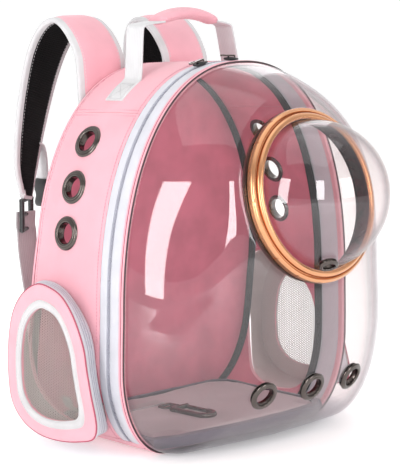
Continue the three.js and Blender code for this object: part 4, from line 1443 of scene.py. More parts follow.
    def build(self) -> None:
        """Builds and dresses both doors."""
        for side, name in ((1, "right"), (-1, "left")):
            self.strip(side, name)
            self.face(side, name)
            self.window(side, name)


def span(edge: Sequence[tuple[float, float]], place: float) -> tuple[float, float]:
    """Returns the lowest and highest point of an outline above a place.

    Args:
        edge: the closed outline.
        place: where along the outline's first axis.

    Returns:
        The lowest and the highest.
    """
    found = []
    for (y0, z0), (y1, z1) in zip(edge, [*edge[1:], edge[0]]):
        if (y0 - place) * (y1 - place) <= 0 and y0 != y1:
            found.append(between(z0, z1, (place - y0) / (y1 - y0)))
    return (min(found), max(found)) if len(found) > 1 else (0.0, 0.0)


DOOR = SideDoor()


@dataclass
class ClearFront:
    """Clear moulded shell with the round seat of the bubble."""

    seat_height: float = 0.253
    reach: float = 0.093
    tilt: float = 0.237
    hole: float = 0.083
    seat: float = 0.090
    inset: float = 0.0012
    thickness: float = 0.002
    rows: int = 40
    form: tuple[tuple[float, float, float], ...] = (
        (-90, 2.6, -0.002), (-62, 2.05, -0.001), (-35, 1.5, -0.002), (0, 1.35, 0.0), (45, 1.15, 0.014),
        (90, 1.15, 0.010))
    eyelets: tuple[float, float, float] = (-0.0625, 0.0, 0.0625)
    eyelet_height: float = 0.066

    @property
    def seat_y(self) -> float:
        """Where the seat's middle stands."""
        return FORM.rim_y - self.reach

    @property
    def place(self) -> Matrix:
        """The seat's frame, with its own Y forward."""
        turn = Matrix.Rotation(math.pi - self.tilt, 4, "X")
        return Matrix.Translation((0, self.seat_y, self.seat_height)) @ turn

    def seat_point(self, angle: float, radius: float) -> Vector:
        """Returns a point of the tilted seat."""
        up = radius * math.sin(angle)
        return Vector((radius * math.cos(angle), self.seat_y + up * math.sin(self.tilt),
                       self.seat_height + up * math.cos(self.tilt)))

    def column(self, distance: float) -> list[Vector]:
        """Returns one column of the shell, from the hole to the rim.

        Args:
            distance: how far along the body's outline.

        Returns:
            The column's points.
        """
        rim = FORM.wall(distance, 0.0, self.inset)
        rim.y = FORM.rim_y - FORM.gap
        angle = math.atan2(rim.z - self.seat_height, rim.x)
        direction = math.degrees(math.asin(math.sin(angle)))
        near = [direction + step for step in (-24, -16, -8, 0, 8, 16, 24)]
        roundness = sum(eased(self.form, 1, place) for place in near) / len(near)
        swell = sum(eased(self.form, 2, place) for place in near) / len(near)
        seat = self.seat_point(angle, self.seat)
        dense = []
        for i in range(161):
            turn = math.pi / 2 * (i / 160)
            outward = math.sin(turn) ** (2 / roundness)
            forward = max(0.0, math.cos(turn)) ** (2 / roundness)
            point = seat.lerp(rim, outward)
            point.y = between(rim.y, seat.y, forward) - swell * 4 * outward * (1 - outward)
            dense.append(point)
        reach = [0.0]
        for a, b in zip(dense, dense[1:]):
            reach.append(reach[-1] + (b - a).length)
        found = [self.seat_point(angle, self.hole),
                 self.seat_point(angle, between(self.hole, self.seat, 0.5))]
        for k in range(self.rows + 1):
            want = reach[-1] * k / self.rows
            i = min(len(dense) - 2, max(0, bisect_left(reach, want) - 1))
            found.append(dense[i].lerp(dense[i + 1], (want - reach[i]) / max(reach[i + 1] - reach[i], 1e-12)))
        return found

    def eyelet_place(self, x: float, tree: BVHTree) -> Matrix:
        """Returns where a shell eyelet sits, with its own Y outward.

        Args:
            x: how far to the right.
            tree: the shell's surface.

        Returns:
            The eyelet's frame.
        """
        start = Vector((x, self.seat_y - self.seat, self.eyelet_height))
        place, normal, _, _ = tree.ray_cast(start, Vector((0, 1, 0)))
        if normal.y > 0:
            normal = -normal
        return standing(place, normal)

    def build(self) -> list[Matrix]:
        """Builds and dresses the shell.

        Returns:
            The places of its eyelets.
        """
        rows = [self.column(d) for d in FORM.round(0.006)]
        made = Form().skin(rows, loop_rows=True).object("clear_shell", 180)
        tree = BVHTree.FromObject(made, bpy.context.evaluated_depsgraph_get())
        places = [self.eyelet_place(x, tree) for x in self.eyelets]
        thick = made.modifiers.new("thick", "SOLIDIFY")
        middle = made.data.polygons[len(made.data.polygons) // 2]
        outward = middle.normal.dot(middle.center - Vector((0, 0, 0.15))) > 0
        thick.thickness, thick.offset = self.thickness, -1 if outward else 1
        freeze(made)
        pierced(made, [cylinder(place, 0.0117, 0.02) for place in places])
        soften(made.data, 50)
        present(made, Body.BAG, Slot.CLEAR, (CLEAR,), "bubble_shell")
        return places


SHELL = ClearFront()


@dataclass
class Bubble:
    """Round window: fixed copper ring with its nut, and the dome that turns in it."""

    outer: float = 0.0852
    sleeve: float = 0.0822
    inner: float = 0.0806
    depth: float = 0.006
    nut_depth: float = 0.0080
    lip: float = 0.0736
    collar_inner: float = 0.0769
    collar_outer: float = 0.0798
    dome_wall: float = 0.0018
    lift: float = 0.002
    skirt: float = 0.004
    vent_polar: float = 1.234
    vent_turn: float = -1.865
    notches: int = 18

    def build(self) -> None:
        """Builds and dresses the ring, the nut, the collar, the dome and its vent."""
        place = SHELL.place
        band = ((self.inner, -self.depth), (self.inner, 0.0060), (self.inner + 0.0003, 0.0071),
                (self.inner + 0.0010, 0.0078), (self.inner + 0.0020, 0.0080), (self.outer - 0.0018, 0.0074),
                (self.outer - 0.0006, 0.0066), (self.outer, 0.0054), (self.outer + 0.0001, 0.0040),
                (self.outer, 0.0006), (self.outer - 0.0004, 0.0003), (self.sleeve, 0.0003),
                (self.sleeve, -self.depth))
        ring = Form().turned(band, place, 128).object("copper_ring", 35)
        tools = []
        for k in range(self.notches):
            turn = 2 * math.pi * k / self.notches
            radial = Vector((math.cos(turn), 0, math.sin(turn)))
            along = Vector((-math.sin(turn), 0, math.cos(turn)))
            middle = place @ (radial * self.outer + Vector((0, 0.0048, 0)))
            axes = tuple(place.to_3x3() @ v for v in (along, radial, Vector((0, 1, 0))))
            tools.append(Form().block(middle, axes, (0.0008, 0.0012, 0.0085), 1.0).object("cutter"))
        pierced(ring, tools)
        soften(ring.data, 35)
        present(ring, Body.BAG, Slot.COPPER, (COPPER,), "bubble_ring")
        nut = ((self.sleeve + 0.0003, -0.0023), (0.0842, -0.0023), (0.0846, -0.0028),
               (0.0834, -self.nut_depth), (0.0828, -self.nut_depth - 0.0006),
               (self.lip + 0.0004, -self.nut_depth - 0.0006),
               (self.lip, -self.nut_depth), (self.lip, -self.depth - 0.0008),
               (self.sleeve + 0.0003, -self.depth - 0.0008))
        made = Form().turned(nut, place, 96).object("ring_nut_black", 35)
        present(made, Body.BAG, Slot.PLASTIC, (BLACK,), "ring_nut")
        bead = ((self.lip, -self.depth), (self.lip, 0.0092), (self.lip + 0.0002, 0.0104),
                (self.lip + 0.0009, 0.0114), (self.lip + 0.0020, 0.0119), (self.lip + 0.0034, 0.0120),
                (self.collar_outer - 0.0016, 0.0113), (self.collar_outer - 0.0005, 0.0104),
                (self.collar_outer, 0.0092), (self.collar_outer, 0.0066),
                (self.inner - 0.0002, 0.0062), (self.inner - 0.0002, -self.depth))
        collar = Form().turned(bead, place, 128, lambda i, j: 1 if j == 0 or j > 9 else 0)
        present(collar.object("copper_collar", 35), Body.BUBBLE, Slot.COPPER, (COPPER, BLACK), "dome_collar")
        self.dome(place)

    def dome(self, place: Matrix) -> None:
        """Builds the clear dome and the vent eyelet in it.

        Args:
            place: the bubble's frame.
        """
        outer = self.collar_inner - FORM.gap
        inner = outer - self.dome_wall
        foot = (self.lip - FORM.gap) / outer
        steps, sides = 30, 96
        arcs = [math.pi / 2 * i / steps for i in range(steps + 1)]
        start = 0.012
        profile = [(foot * outer * math.sin(max(a, start)), self.lift + outer * math.cos(a)) for a in arcs]
        profile += [(foot * outer, -self.skirt), (foot * inner, -self.skirt)]
        profile += [(foot * inner * math.sin(max(a, start)), self.lift + inner * math.cos(a))
                    for a in reversed(arcs)]
        rows = [[place @ Vector((r * math.cos(t), y, r * math.sin(t))) for r, y in profile]
                for t in (2 * math.pi * k / sides for k in range(sides))]
        form = Form().skin(rows, loop_rows=True, paint=0)
        for level in (0, len(profile) - 1):
            top = [k * len(profile) + level for k in range(sides)]
            form.add_face(top, 0, [(0.0, 0.0)] * sides)
        made = form.object("clear_dome", 50)
        local = Vector((math.sin(self.vent_polar) * math.cos(self.vent_turn), math.cos(self.vent_polar),
                        -math.sin(self.vent_polar) * math.sin(self.vent_turn)))
        centre = Vector((0, self.lift, 0))
        vent = standing(place @ (centre + local * outer), place.to_3x3() @ local)
        pierced(made, [cylinder(vent, 0.0078, 0.006)])
        soften(made.data, 50)
        present(made, Body.BUBBLE, Slot.CLEAR, (CLEAR,), "dome")
        eyelet = Eyelet(0.010, 0.0056, 0.0018, 0.0086, self.dome_wall, 0.0009)
        present(eyelet.object("vent_eyelet", vent), Body.BUBBLE, Slot.METAL, (GUNMETAL,), "dome_vent")


@dataclass(frozen=True)
class Eyelet:
    """Pressed metal eyelet with its rolled flange and back washer."""

    outer: float
    inner: float
    rim: float
    back: float
    wall: float
    back_gap: float

    def object(self, name: str, place: Matrix) -> bpy.types.Object:
        """Makes the eyelet at a place whose own Y points outward.

        Args:
            name: its name.
            place: its frame.

        Returns:
            The object.
        """
        inner, outer, back, rim = self.inner, self.outer, self.back, self.rim
        neck, gap = inner + 0.0018, 0.0003
        wide = outer - inner
        low = -self.wall - self.back_gap
        profile = (
            (inner, low - rim * 0.6), (inner, gap + rim * 0.35),
            (inner + wide * 0.05, gap + rim * 0.72), (inner + wide * 0.16, gap + rim * 0.95),
            (inner + wide * 0.28, gap + rim), (inner + wide * 0.42, gap + rim * 0.93),
            (inner + wide * 0.50, gap + rim * 0.78), (inner + wide * 0.58, gap + rim * 0.80),
            (inner + wide * 0.80, gap + rim * 0.62), (outer - wide * 0.06, gap + rim * 0.30),
            (outer, gap + rim * 0.05), (outer - wide * 0.05, gap), (neck, gap), (neck, low),
            (back, low), (back, low - rim * 0.25), (back - wide * 0.2, low - rim * 0.7),
            (inner + wide * 0.2, low - rim), (inner + wide * 0.06, low - rim * 0.9))
        return Form().turned(profile, place, 56).object(name, 40)


@dataclass
class Eyelets:
    """The air eyelets of the sides and of the clear front."""

    def build(self, gusset: Gusset, shell_places: Sequence[Matrix]) -> None:
        """Builds and dresses them.

        Args:
            gusset: the panels that hold the side eyelets.
            shell_places: places in the clear front.
        """
        side_eyelet = Eyelet(0.017, 0.0105, 0.0026, 0.015, FORM.cloth, 0.0008)
        for side, name in ((1, "right"), (-1, "left")):
            for level, height in zip(("top", "middle", "bottom"), gusset.eyelet_heights):
                place = gusset.eyelet_place(side, height)
                place = Matrix.Translation(place.to_3x3() @ Vector((0, 0.0012, 0))) @ place
                made = side_eyelet.object(f"side_eyelet_{name}_{level}", place)
                present(made, Body.BAG, Slot.METAL, (GUNMETAL,), f"eyelet_{name}_{level}")
        front_eyelet = Eyelet(0.015, 0.0095, 0.0024, 0.0134, 0.002, 0.0010)
        for name, place in zip(("left", "middle", "right"), shell_places):
            made = front_eyelet.object(f"front_eyelet_{name}", place)
            present(made, Body.BAG, Slot.METAL, (GUNMETAL,), f"shell_eyelet_{name}")


@dataclass
class FloorPad:
    """Washable pad on the floor: a plush top with a bound edge."""

    rise: float = 0.0085
    rise_reach: float = 0.045

    def lift(self, y: float) -> float:
        """Returns how far the pad rides up on the clear front's curved floor."""
        share = min(1.0, max(0.0, (FORM.rim_y - y) / self.rise_reach))
        return self.rise * share * share * (3 - 2 * share)

    def build(self) -> None:
        """Builds and dresses the pad."""
        low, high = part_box("floor_pad")
        edge = pad_edge(96)
        middle = Vector(((low.x + high.x) / 2, (low.y + high.y) / 2))
        rows: Rows = []
        for share, level in ((0.0, 0.0004), (0.5, 0.0004), (0.93, 0.0004), (0.99, 0.002), (1.0, 0.005),
                             (0.99, 0.0085), (0.93, 0.0098), (0.5, 0.0100), (0.0, 0.0100)):
            ring = []
            for x, y in edge:
                flat = middle.lerp(Vector((x, y)), max(share, 0.001) * 0.985)
                ring.append(Vector((flat.x, flat.y, low.z + level + self.lift(flat.y))))
            rows.append(ring)
        made = Form().skin(rows, loop_columns=True, capped=True).object("pad_top", 180)
        puffed(made, 0.005, 3.0, 0.004)
        for vertex in made.data.vertices:
            lift = self.lift(vertex.co.y)
            vertex.co.z = min(max(vertex.co.z, low.z + lift), high.z + lift + 0.0015)
        present(made, Body.BAG, Slot.PAD, (PAD_TOP,), "floor_pad")
        section = ((0.0, 0.0056), (0.0016, 0.0108), (0.0075, 0.0117), (0.0078, 0.0106), (0.0030, 0.0098),
                   (0.0014, 0.0056), (0.0030, 0.0012), (0.0078, 0.0007), (0.0075, -0.0002), (0.0016, 0.0006))
        bound: Rows = []
        for i, (x, y) in enumerate(edge):
            before, after = edge[i - 1], edge[(i + 1) % len(edge)]
            out = Vector((after[1] - before[1], before[0] - after[0])).normalized()
            if out.dot(Vector((x, y)) - middle) < 0:
                out = -out
            wave = noise.noise(Vector((x, y, 0.3)) * 60) * 0.0004
            bound.append([Vector((x - out.x * (inward - 0.0006), y - out.y * (inward - 0.0006),
                                  low.z + self.lift(y) + level + (wave if level > 0.009 else 0.0)))
                          for inward, level in section])
        trim = Form().skin(bound, loop_rows=True, loop_columns=True)
        present(trim.object("pad_binding"), Body.BAG, Slot.PAD, (PAD_EDGE,))


def pad_edge(count: int) -> list[tuple[float, float]]:
    """Returns the floor pad's outline as (x, y), with soft corners, inside the solid pad's box.

    Args:
        count: how many points it gets.

    Returns:
        The points, evenly spaced.
    """
    low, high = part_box("floor_pad")
    side = high.x
    front = [(0.0, low.y), (0.035, low.y + 0.0015), (0.07, low.y + 0.0075), (0.095, low.y + 0.020),
             (0.112, low.y + 0.038), (side, FORM.rim_y)]
    right = [*front, (side, -0.02), (side, 0.04), (side - 0.001, high.y - 0.014),
             (side - 0.014, high.y - 0.001), (side - 0.05, high.y)]
    return smooth_loop([*right, *[(-x, y) for x, y in reversed(right) if x > 0]], count)


@dataclass
class Handle:
    """Carrying handle: two folded webs sewn to the gusset, and a padded grip."""

    web: float = 0.025
    thickness: float = 0.002
    half_span: float = 0.066
    offset: float = 0.084
    top: float = 0.416
    lean: float = 0.008
    grip_half: float = 0.0409

    def on_wall(self, distance: float, lift: float) -> Vector:
        """Returns a point above the gusset on the handle's line."""
        point = FORM.wall(distance, self.offset - self.web / 2, -lift)
        return Vector((point.x, FORM.rim_y + self.offset, point.z))

    def leg(self, side: int, lean: float) -> list[Vector]:
        """Returns the web's path from its sewn end up to the grip.

        Args:
            side: 1 for the right, -1 for the left.
            lean: how far it leans.

        Returns:
            The points of its middle.
        """
        y = FORM.rim_y + self.offset
        reach = next(r for r, p in zip(reversed(FORM.reaches), reversed(FORM.trace)) if p.x >= self.half_span)
        tail = [self.on_wall(reach - back, 0.0013) for back in (0.036, 0.026, 0.016, 0.006)]
        bend = tail[-1]
        rest = [(bend.x - 0.003, bend.z + 0.007)]
        rest += [(self.half_span - lean - inward, self.top - below)
                 for inward, below in ((-0.001, 0.008), (0.002, 0.002), (0.008, 0.0))]
        rest.append((self.grip_half - 0.004, self.top + 0.0022))
        path = smooth_path([*tail, *[Vector((x, y, z)) for x, z in rest]], 60)
        return [Vector((side * p.x, p.y, p.z)) for p in path]

    def build(self) -> None:
        """Builds and dresses the handle."""
        for side, name, lean in ((-1, "left", 0.0), (1, "right", self.lean)):
            path = self.leg(side, lean)
            made = flat_web(path, Vector((0, 1, 0)), self.web, self.thickness)
            present(made.object(f"handle_web_{name}", 60), Body.BAG, Slot.TAPE, (WEBBING,),
                    f"handle_strap_{name}")
            self.stitch_box(side, name)
        self.grip()

    def stitch_box(self, side: int, name: str) -> None:
        """Adds the sewn rectangle and its crossed lines on the web's flat end.

        Args:
            side: 1 for the right, -1 for the left.
            name: the side's name, for the piece names.
        """
        reach = next(r for r, p in zip(reversed(FORM.reaches), reversed(FORM.trace)) if p.x >= self.half_span)
        seam = Form()

        def spot(u: float, v: float) -> Vector:
            """Returns a place on the web's flat end by its shares of length and width."""
            point = self.on_wall(reach - between(0.034, 0.012, u), 0.0026)
            return Vector((side * point.x, point.y + (v - 0.5) * 0.019, point.z))

        lines = (((0, 0), (1, 0)), ((1, 0), (1, 1)), ((1, 1), (0, 1)), ((0, 1), (0, 0)), ((0, 0), (1, 1)),
                 ((1, 0), (0, 1)))
        out = FORM.out(side * (reach - 0.022))
        for (u0, v0), (u1, v1) in lines:
            path = [spot(between(u0, u1, i / 8), between(v0, v1, i / 8)) for i in range(9)]
            seam.stitches(path, [out] * 9, pitch=0.0026, length=0.0019)
        present(seam.object(f"handle_stitches_{name}"), Body.BAG, Slot.TAPE, (WHITE_TRIM,))

    def grip(self) -> None:
        """Builds the padded grip and its seam."""
        y = FORM.rim_y + self.offset
        rows: Rows = []
        for i in range(33):
            share = i / 16 - 1
            swell = 0.88 + 0.12 * (1 - share ** 4)
            z = self.top + 0.002 + 0.009 * (1 - share * share)
            rows.append([Vector((share * (self.grip_half - 0.0005), y + 0.0142 * swell * math.cos(t),
                                 z + 0.0058 * swell * math.sin(t))) for t in
                         (2 * math.pi * k / 28 for k in range(28))])
        made = Form().skin(rows, loop_columns=True, capped=True).object("grip_cloth", 180)
        puffed(made, 0.0035, 3.0, 0.003)
        present(made, Body.BAG, Slot.PINK, (WovenCloth("pink_cloth_grip", PINK.colour, lay=Lay.FRAME),),
                "handle_grip")


def flat_web(path: Sequence[Vector], across: Vector, width: float, thickness: float,
             fold: float = 0.0) -> Form:
    """Makes flat webbing whose width stays along one direction.

    Args:
        path: points along its middle.
        across: the direction of its width.
        width: of the web.
        thickness: of the web.
        fold: how much its middle rises.

    Returns:
        Its form, with rounded edges.
    """
    section = ((0.5, 0.25), (0.485, 0.45), (0.44, 0.5), (0.22, 0.5), (0.0, 0.5), (-0.22, 0.5), (-0.44, 0.5),
               (-0.485, 0.45), (-0.5, 0.25), (-0.5, -0.25), (-0.485, -0.45), (-0.44, -0.5), (-0.22, -0.5),
               (0.0, -0.5), (0.22, -0.5), (0.44, -0.5), (0.485, -0.45), (0.5, -0.25))
    rows: Rows = []
    for i, point in enumerate(path):
        before, after = path[max(0, i - 1)], path[min(len(path) - 1, i + 1)]
        out = across.cross(after - before).normalized()
        rows.append([point + across * (u * width) + out * (v * thickness + fold * (1 - 4 * u * u))
                     for u, v in section])
    return Form().skin(rows, loop_columns=True, capped=True)


@dataclass
class ShoulderStrap:
    """Padded shoulder strap with bound edges, its ladder lock, webbing and chest buckle."""

    width: float = 0.063
    thickness: float = 0.011
    spacing: float = 0.060
    reach: float = 0.076
    crown: float = 0.420
    tip: float = 0.236
    splay: float = 0.046
    rows: int = 90
    form: tuple[tuple[float, float, float, float, float], ...] = (
        (0.004, 0.5, 0.0, 0.9, 0), (0.004, 0.72, 0.0, 1.0, 0), (0.06, 0.82, 0.0, 1.0, 0),
        (0.26, 0.93, 0.0, 1.0, 2), (0.52, 0.995, 0.02, 1.0, 5), (0.76, 0.96, 0.1, 1.0, 8),
        (0.93, 0.84, 0.25, 1.0, 12), (1.0, 0.66, 0.45, 1.0, 18), (1.0, 0.4, 0.72, 0.98, 24),
        (0.96, 0.18, 0.92, 0.86, 28), (0.92, 0.05, 0.98, 0.6, 32), (0.9, 0.0, 1.0, 0.42, 34))

    @property
    def start_y(self) -> float:
        """Where the strap's middle starts behind the back panel."""
        return FORM.back_face(FORM.height) + FORM.gap + self.thickness / 2

    def line(self) -> list[tuple[Vector, Vector, Vector, float]]:
        """Returns rows along the strap: its middle, its width's direction, its lining side and its width."""
        knots = [Vector((self.spacing + splay * self.splay, self.start_y + behind * self.reach,
                         between(self.tip, self.crown, up))) for behind, up, splay, _, _ in self.form]
        last = len(knots) - 1
        points = [2 * knots[0] - knots[1], *knots, 2 * knots[-1] - knots[-2]]
        found = []
        for i in range(self.rows + 1):
            place = i / self.rows * last
            low = min(last - 1, int(place))
            t = place - low
            a, b, c, d = points[low:low + 4]
            point = 0.5 * ((2 * b) + (c - a) * t + (2 * a - 5 * b + 4 * c - d) * t * t
                           + (3 * b - a - 3 * c + d) * t ** 3)
            slope = 0.5 * ((c - a) + 2 * (2 * a - 5 * b + 4 * c - d) * t
                           + 3 * (3 * b - a - 3 * c + d) * t * t)
            turn = math.radians(between(self.form[low][4], self.form[low + 1][4], t))
            across = Vector((math.cos(turn), -math.sin(turn), 0))
            along = slope.normalized()
            across = (across - along * across.dot(along)).normalized()
            inward = along.cross(across).normalized()
            wide = self.width * between(self.form[low][3], self.form[low + 1][3], t)
            found.append((point, across, inward, wide))
        return found

    def build(self) -> None:
        """Builds and dresses both straps."""
        rows = self.line()
        for side, name in ((1, "right"), (-1, "left")):
            self.padding(rows, side, name)
            self.edges(rows, side, name)
            self.lock(rows, side, name)
            self.webbing(rows, side, name)
            self.chest(side, name)

    def flip(self, point: Vector, side: int) -> Vector:
        """Returns a point on its own side of the bag."""
        return Vector((side * point.x, point.y, point.z))

    def padding(self, rows: Sequence[tuple[Vector, Vector, Vector, float]], side: int, name: str) -> None:
        """Builds the padded core: pink outside, air mesh towards the wearer.

        Args:
            rows: each row's point, cross direction, inward direction and width.
            side: 1 for the right, -1 for the left.
            name: the side's name, for the piece names.
        """
        made: Rows = []
        count = 12
        for point, across, inward, width in rows:
            half = width / 2 - 0.0025
            row = []
            for sign in (1, -1):
                for j in range(count + 1):
                    u = (1 - 2 * j / count) * sign
                    crown = (1 - abs(u) ** 3.2) * self.thickness * 0.30 + self.thickness * 0.16
                    soft = noise.noise((point + across * (u * half)) * 38 + Vector((0, 0, side))) * 0.0005
                    row.append(point + across * (u * half) + inward * sign * (crown + soft * (1 - u * u)))
            made.append([self.flip(p, side) for p in row])
        form = Form().skin(made, loop_columns=True, capped=True, paint=lambda i, j: 1 if j <= count else 0)
        present(form.object(f"strap_pad_{name}", 60), Body.BAG, Slot.PINK, (PINK, AIR_MESH),
                f"shoulder_strap_{name}")

    def edges(self, rows: Sequence[tuple[Vector, Vector, Vector, float]], side: int, name: str) -> None:
        """Builds the folded binding along both edges and round the tip, with its stitches.

        Args:
            rows: each row's point, cross direction, inward direction and width.
            side: 1 for the right, -1 for the left.
            name: the side's name, for the piece names.
        """
        binding, seam = Form(), Form()
        left = [(p - a * (w / 2 - 0.001), -a, n) for p, a, n, w in rows]
        right = [(p + a * (w / 2 - 0.001), a, n) for p, a, n, w in rows]
        section = ((0.0016, 0.0), (0.0013, 0.0016), (0.0, 0.0026), (-0.0075, 0.0031), (-0.0086, 0.0031),
                   (-0.0087, 0.0024), (-0.0020, 0.0018), (-0.0020, -0.0018), (-0.0087, -0.0024),
                   (-0.0086, -0.0031), (-0.0075, -0.0031), (0.0, -0.0026), (0.0013, -0.0016))
        for run in (left, right):
            made = [[self.flip(p + out * u + n * v, side) for u, v in section] for p, out, n in run]
            binding.skin(made, loop_columns=True, capped=True)
            for sign in (1, -1):
                path = [self.flip(p - out * 0.0070 + n * sign * 0.0032, side) for p, out, n in run]
                outs = [self.flip(n * sign, side) for _, _, n in run]
                seam.stitches(path, outs)
        point, across, inward, width = rows[-1]
        along = across.cross(inward).normalized()
        if along.z > 0:
            along = -along
        cap = [[self.flip(point + across * (width / 2 * u) + along * (0.0012 if abs(u) > 0.9 else 0.003) * w
                          + inward * v, side) for w, v in ((0, 0.0031), (1, 0.002), (1.3, 0), (1, -0.002),
                                                           (0, -0.0031), (-2.4, -0.0031), (-2.4, 0.0031))]
               for u in (-1, -0.9, -0.5, 0, 0.5, 0.9, 1)]
        binding.skin(cap, loop_columns=True, capped=True)
        present(binding.object(f"strap_binding_{name}"), Body.BAG, Slot.TAPE, (WHITE_TRIM,))
        present(seam.object(f"strap_stitches_{name}"), Body.BAG, Slot.TAPE, (WHITE_TRIM,))

    def lock(self, rows: Sequence[tuple[Vector, Vector, Vector, float]], side: int, name: str) -> None:
        """Builds the curved ladder lock.

        Args:
            rows: each row's point, cross direction, inward direction and width.
            side: 1 for the right, -1 for the left.
            name: the side's name, for the piece names.
        """
        point, across, inward, _ = rows[-1]
        across = Vector((across.x, across.y, 0)).normalized()
        face = Vector((across.y, -across.x, 0))
        if face.dot(inward) < 0:
            face = -face
        down = Vector((0, 0, -1))
        middle = point + down * (0.018 + 0.0011)
        half_w, half_h, bar = 0.017, 0.018, 0.005

        def spot(u: float, v: float, lift: float) -> Vector:
            """Returns a place on the bowed lock: across, down and above its middle."""
            bow = 0.0030 * (1 - (u / half_w) ** 2) - 0.0010
            return self.flip(middle + across * u - down * v + face * (lift - bow * 0.5), side)

        form = Form()
        section = [(0.5 * math.cos(2 * math.pi * k / 10), 0.5 * math.sin(2 * math.pi * k / 10))
                   for k in range(10)]
        bars = ((half_h - bar / 2, bar, 0.0058), (0.0, bar * 0.9, 0.0050),
                (-half_h + bar / 2, bar, 0.0058))
        for v, size, deep in bars:
            made = [[spot(u, v + a * size, b * deep) for a, b in section]
                    for u in (between(-half_w + 0.001, half_w - 0.001, i / 14) for i in range(15))]
            form.skin(made, loop_columns=True, capped=True)
        for u in (-half_w + bar / 2, half_w - bar / 2):
            made = [[spot(u + a * bar, v, b * 0.0058) for a, b in section]
                    for v in (between(-half_h + 0.001, half_h - 0.001, i / 16) for i in range(17))]
            form.skin(made, loop_columns=True, capped=True)
        present(form.object(f"lock_{name}", 60), Body.BAG, Slot.PLASTIC, (BLACK,), f"ladder_lock_{name}")

    def webbing(self, rows: Sequence[tuple[Vector, Vector, Vector, float]], side: int, name: str) -> None:
        """Builds the webbing from the lock down to the base's corner.

        Args:
            rows: each row's point, cross direction, inward direction and width.
            side: 1 for the right, -1 for the left.
            name: the side's name, for the piece names.
        """
        tip = rows[-1][0]
        start = Vector((tip.x, tip.y, tip.z - 0.036 - 0.0022))
        lift = 0.0012
        foot_y = FORM.back_face(0.034) + lift
        end = Vector((self.spacing + self.splay, foot_y, 0.034))
        knots = [start + Vector((0, 0.0008, 0.022)), start + Vector((0, 0.0016, 0.008))]
        for share in (0, 0.12, 0.35, 0.6, 0.8, 0.92, 1):
            point = start.lerp(end, share)
            bowed = between(start.y, foot_y, share ** 1.6)
            point.y = max(bowed, FORM.back_face(point.z) + lift)
            knots.append(point)
        knots.append(Vector((end.x, FORM.back_face(0.020) + lift, 0.020)))
        path = [self.flip(p, side) for p in smooth_path(knots, 90)]
        made = flat_web(path, Vector((1, 0, 0)), 0.025, 0.0018)
        present(made.object(f"lower_web_{name}", 60), Body.BAG, Slot.TAPE, (TAUPE_WEBBING,),
                f"lower_webbing_{name}")

    def chest(self, side: int, name: str) -> None:
        """Builds the short chest web and its half of the side-release buckle.

        Args:
            side: 1 for the right, -1 for the left.
            name: the side's name, for the piece names.
        """
        low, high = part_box(f"chest_webbing_{name}")
        b_low, b_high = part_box(f"chest_buckle_{name}")
        x = (b_low.x + b_high.x) / 2
        y = (b_low.y + b_high.y) / 2
        top = Vector(((low.x + high.x) / 2 + side * 0.003, y, high.z - 0.003))
        path = smooth_path([top + Vector((side * 0.006, 0, 0.004)), top,
                            Vector((x + side * 0.001, y, between(low.z, high.z, 0.5))),
                            Vector((x, y, low.z - 0.006))], 30)
        made = flat_web(path, Vector((0, 1, 0)), 0.0195, 0.0018)
        present(made.object(f"chest_web_{name}", 60), Body.BAG, Slot.TAPE, (WEBBING,),
                f"chest_webbing_{name}")
        height = b_high.z - b_low.z
        form = Form()
        profile = ((0.0, 0.80, 0.62), (0.06, 0.94, 0.85), (0.2, 1.0, 1.0), (0.42, 1.0, 1.0),
                   (0.5, 0.86, 0.95), (0.62, 0.80, 0.92), (0.74, 0.90, 0.95), (0.86, 0.98, 0.95),
                   (0.95, 0.94, 0.8), (1.0, 0.84, 0.55))
        rows_made: Rows = []
        for share, wide, deep in profile:
            z = between(b_high.z, b_low.z, share)
            ring = []
            for k in range(20):
                t = 2 * math.pi * k / 20
                cx, cy = math.cos(t), math.sin(t)
                ring.append(Vector((x + 0.004 * deep * math.copysign(abs(cx) ** 0.55, cx),
                                    y + 0.012 * wide * math.copysign(abs(cy) ** 0.45, cy), z)))
            rows_made.append(ring)
        form.skin(rows_made, loop_columns=True, capped=True)
        for shift in (-0.0028, 0.0, 0.0028):
            form.block(Vector((x - side * 0.0040, y, b_high.z - height * 0.32 + shift)),
                       (Vector((0, 1, 0)), Vector((0, 0, 1)), Vector((-side, 0, 0))),
                       (0.012, 0.0011, 0.0010), 0.7)
        present(form.object(f"chest_clip_{name}", 50), Body.BAG, Slot.PLASTIC, (BLACK,),
                f"chest_buckle_{name}")


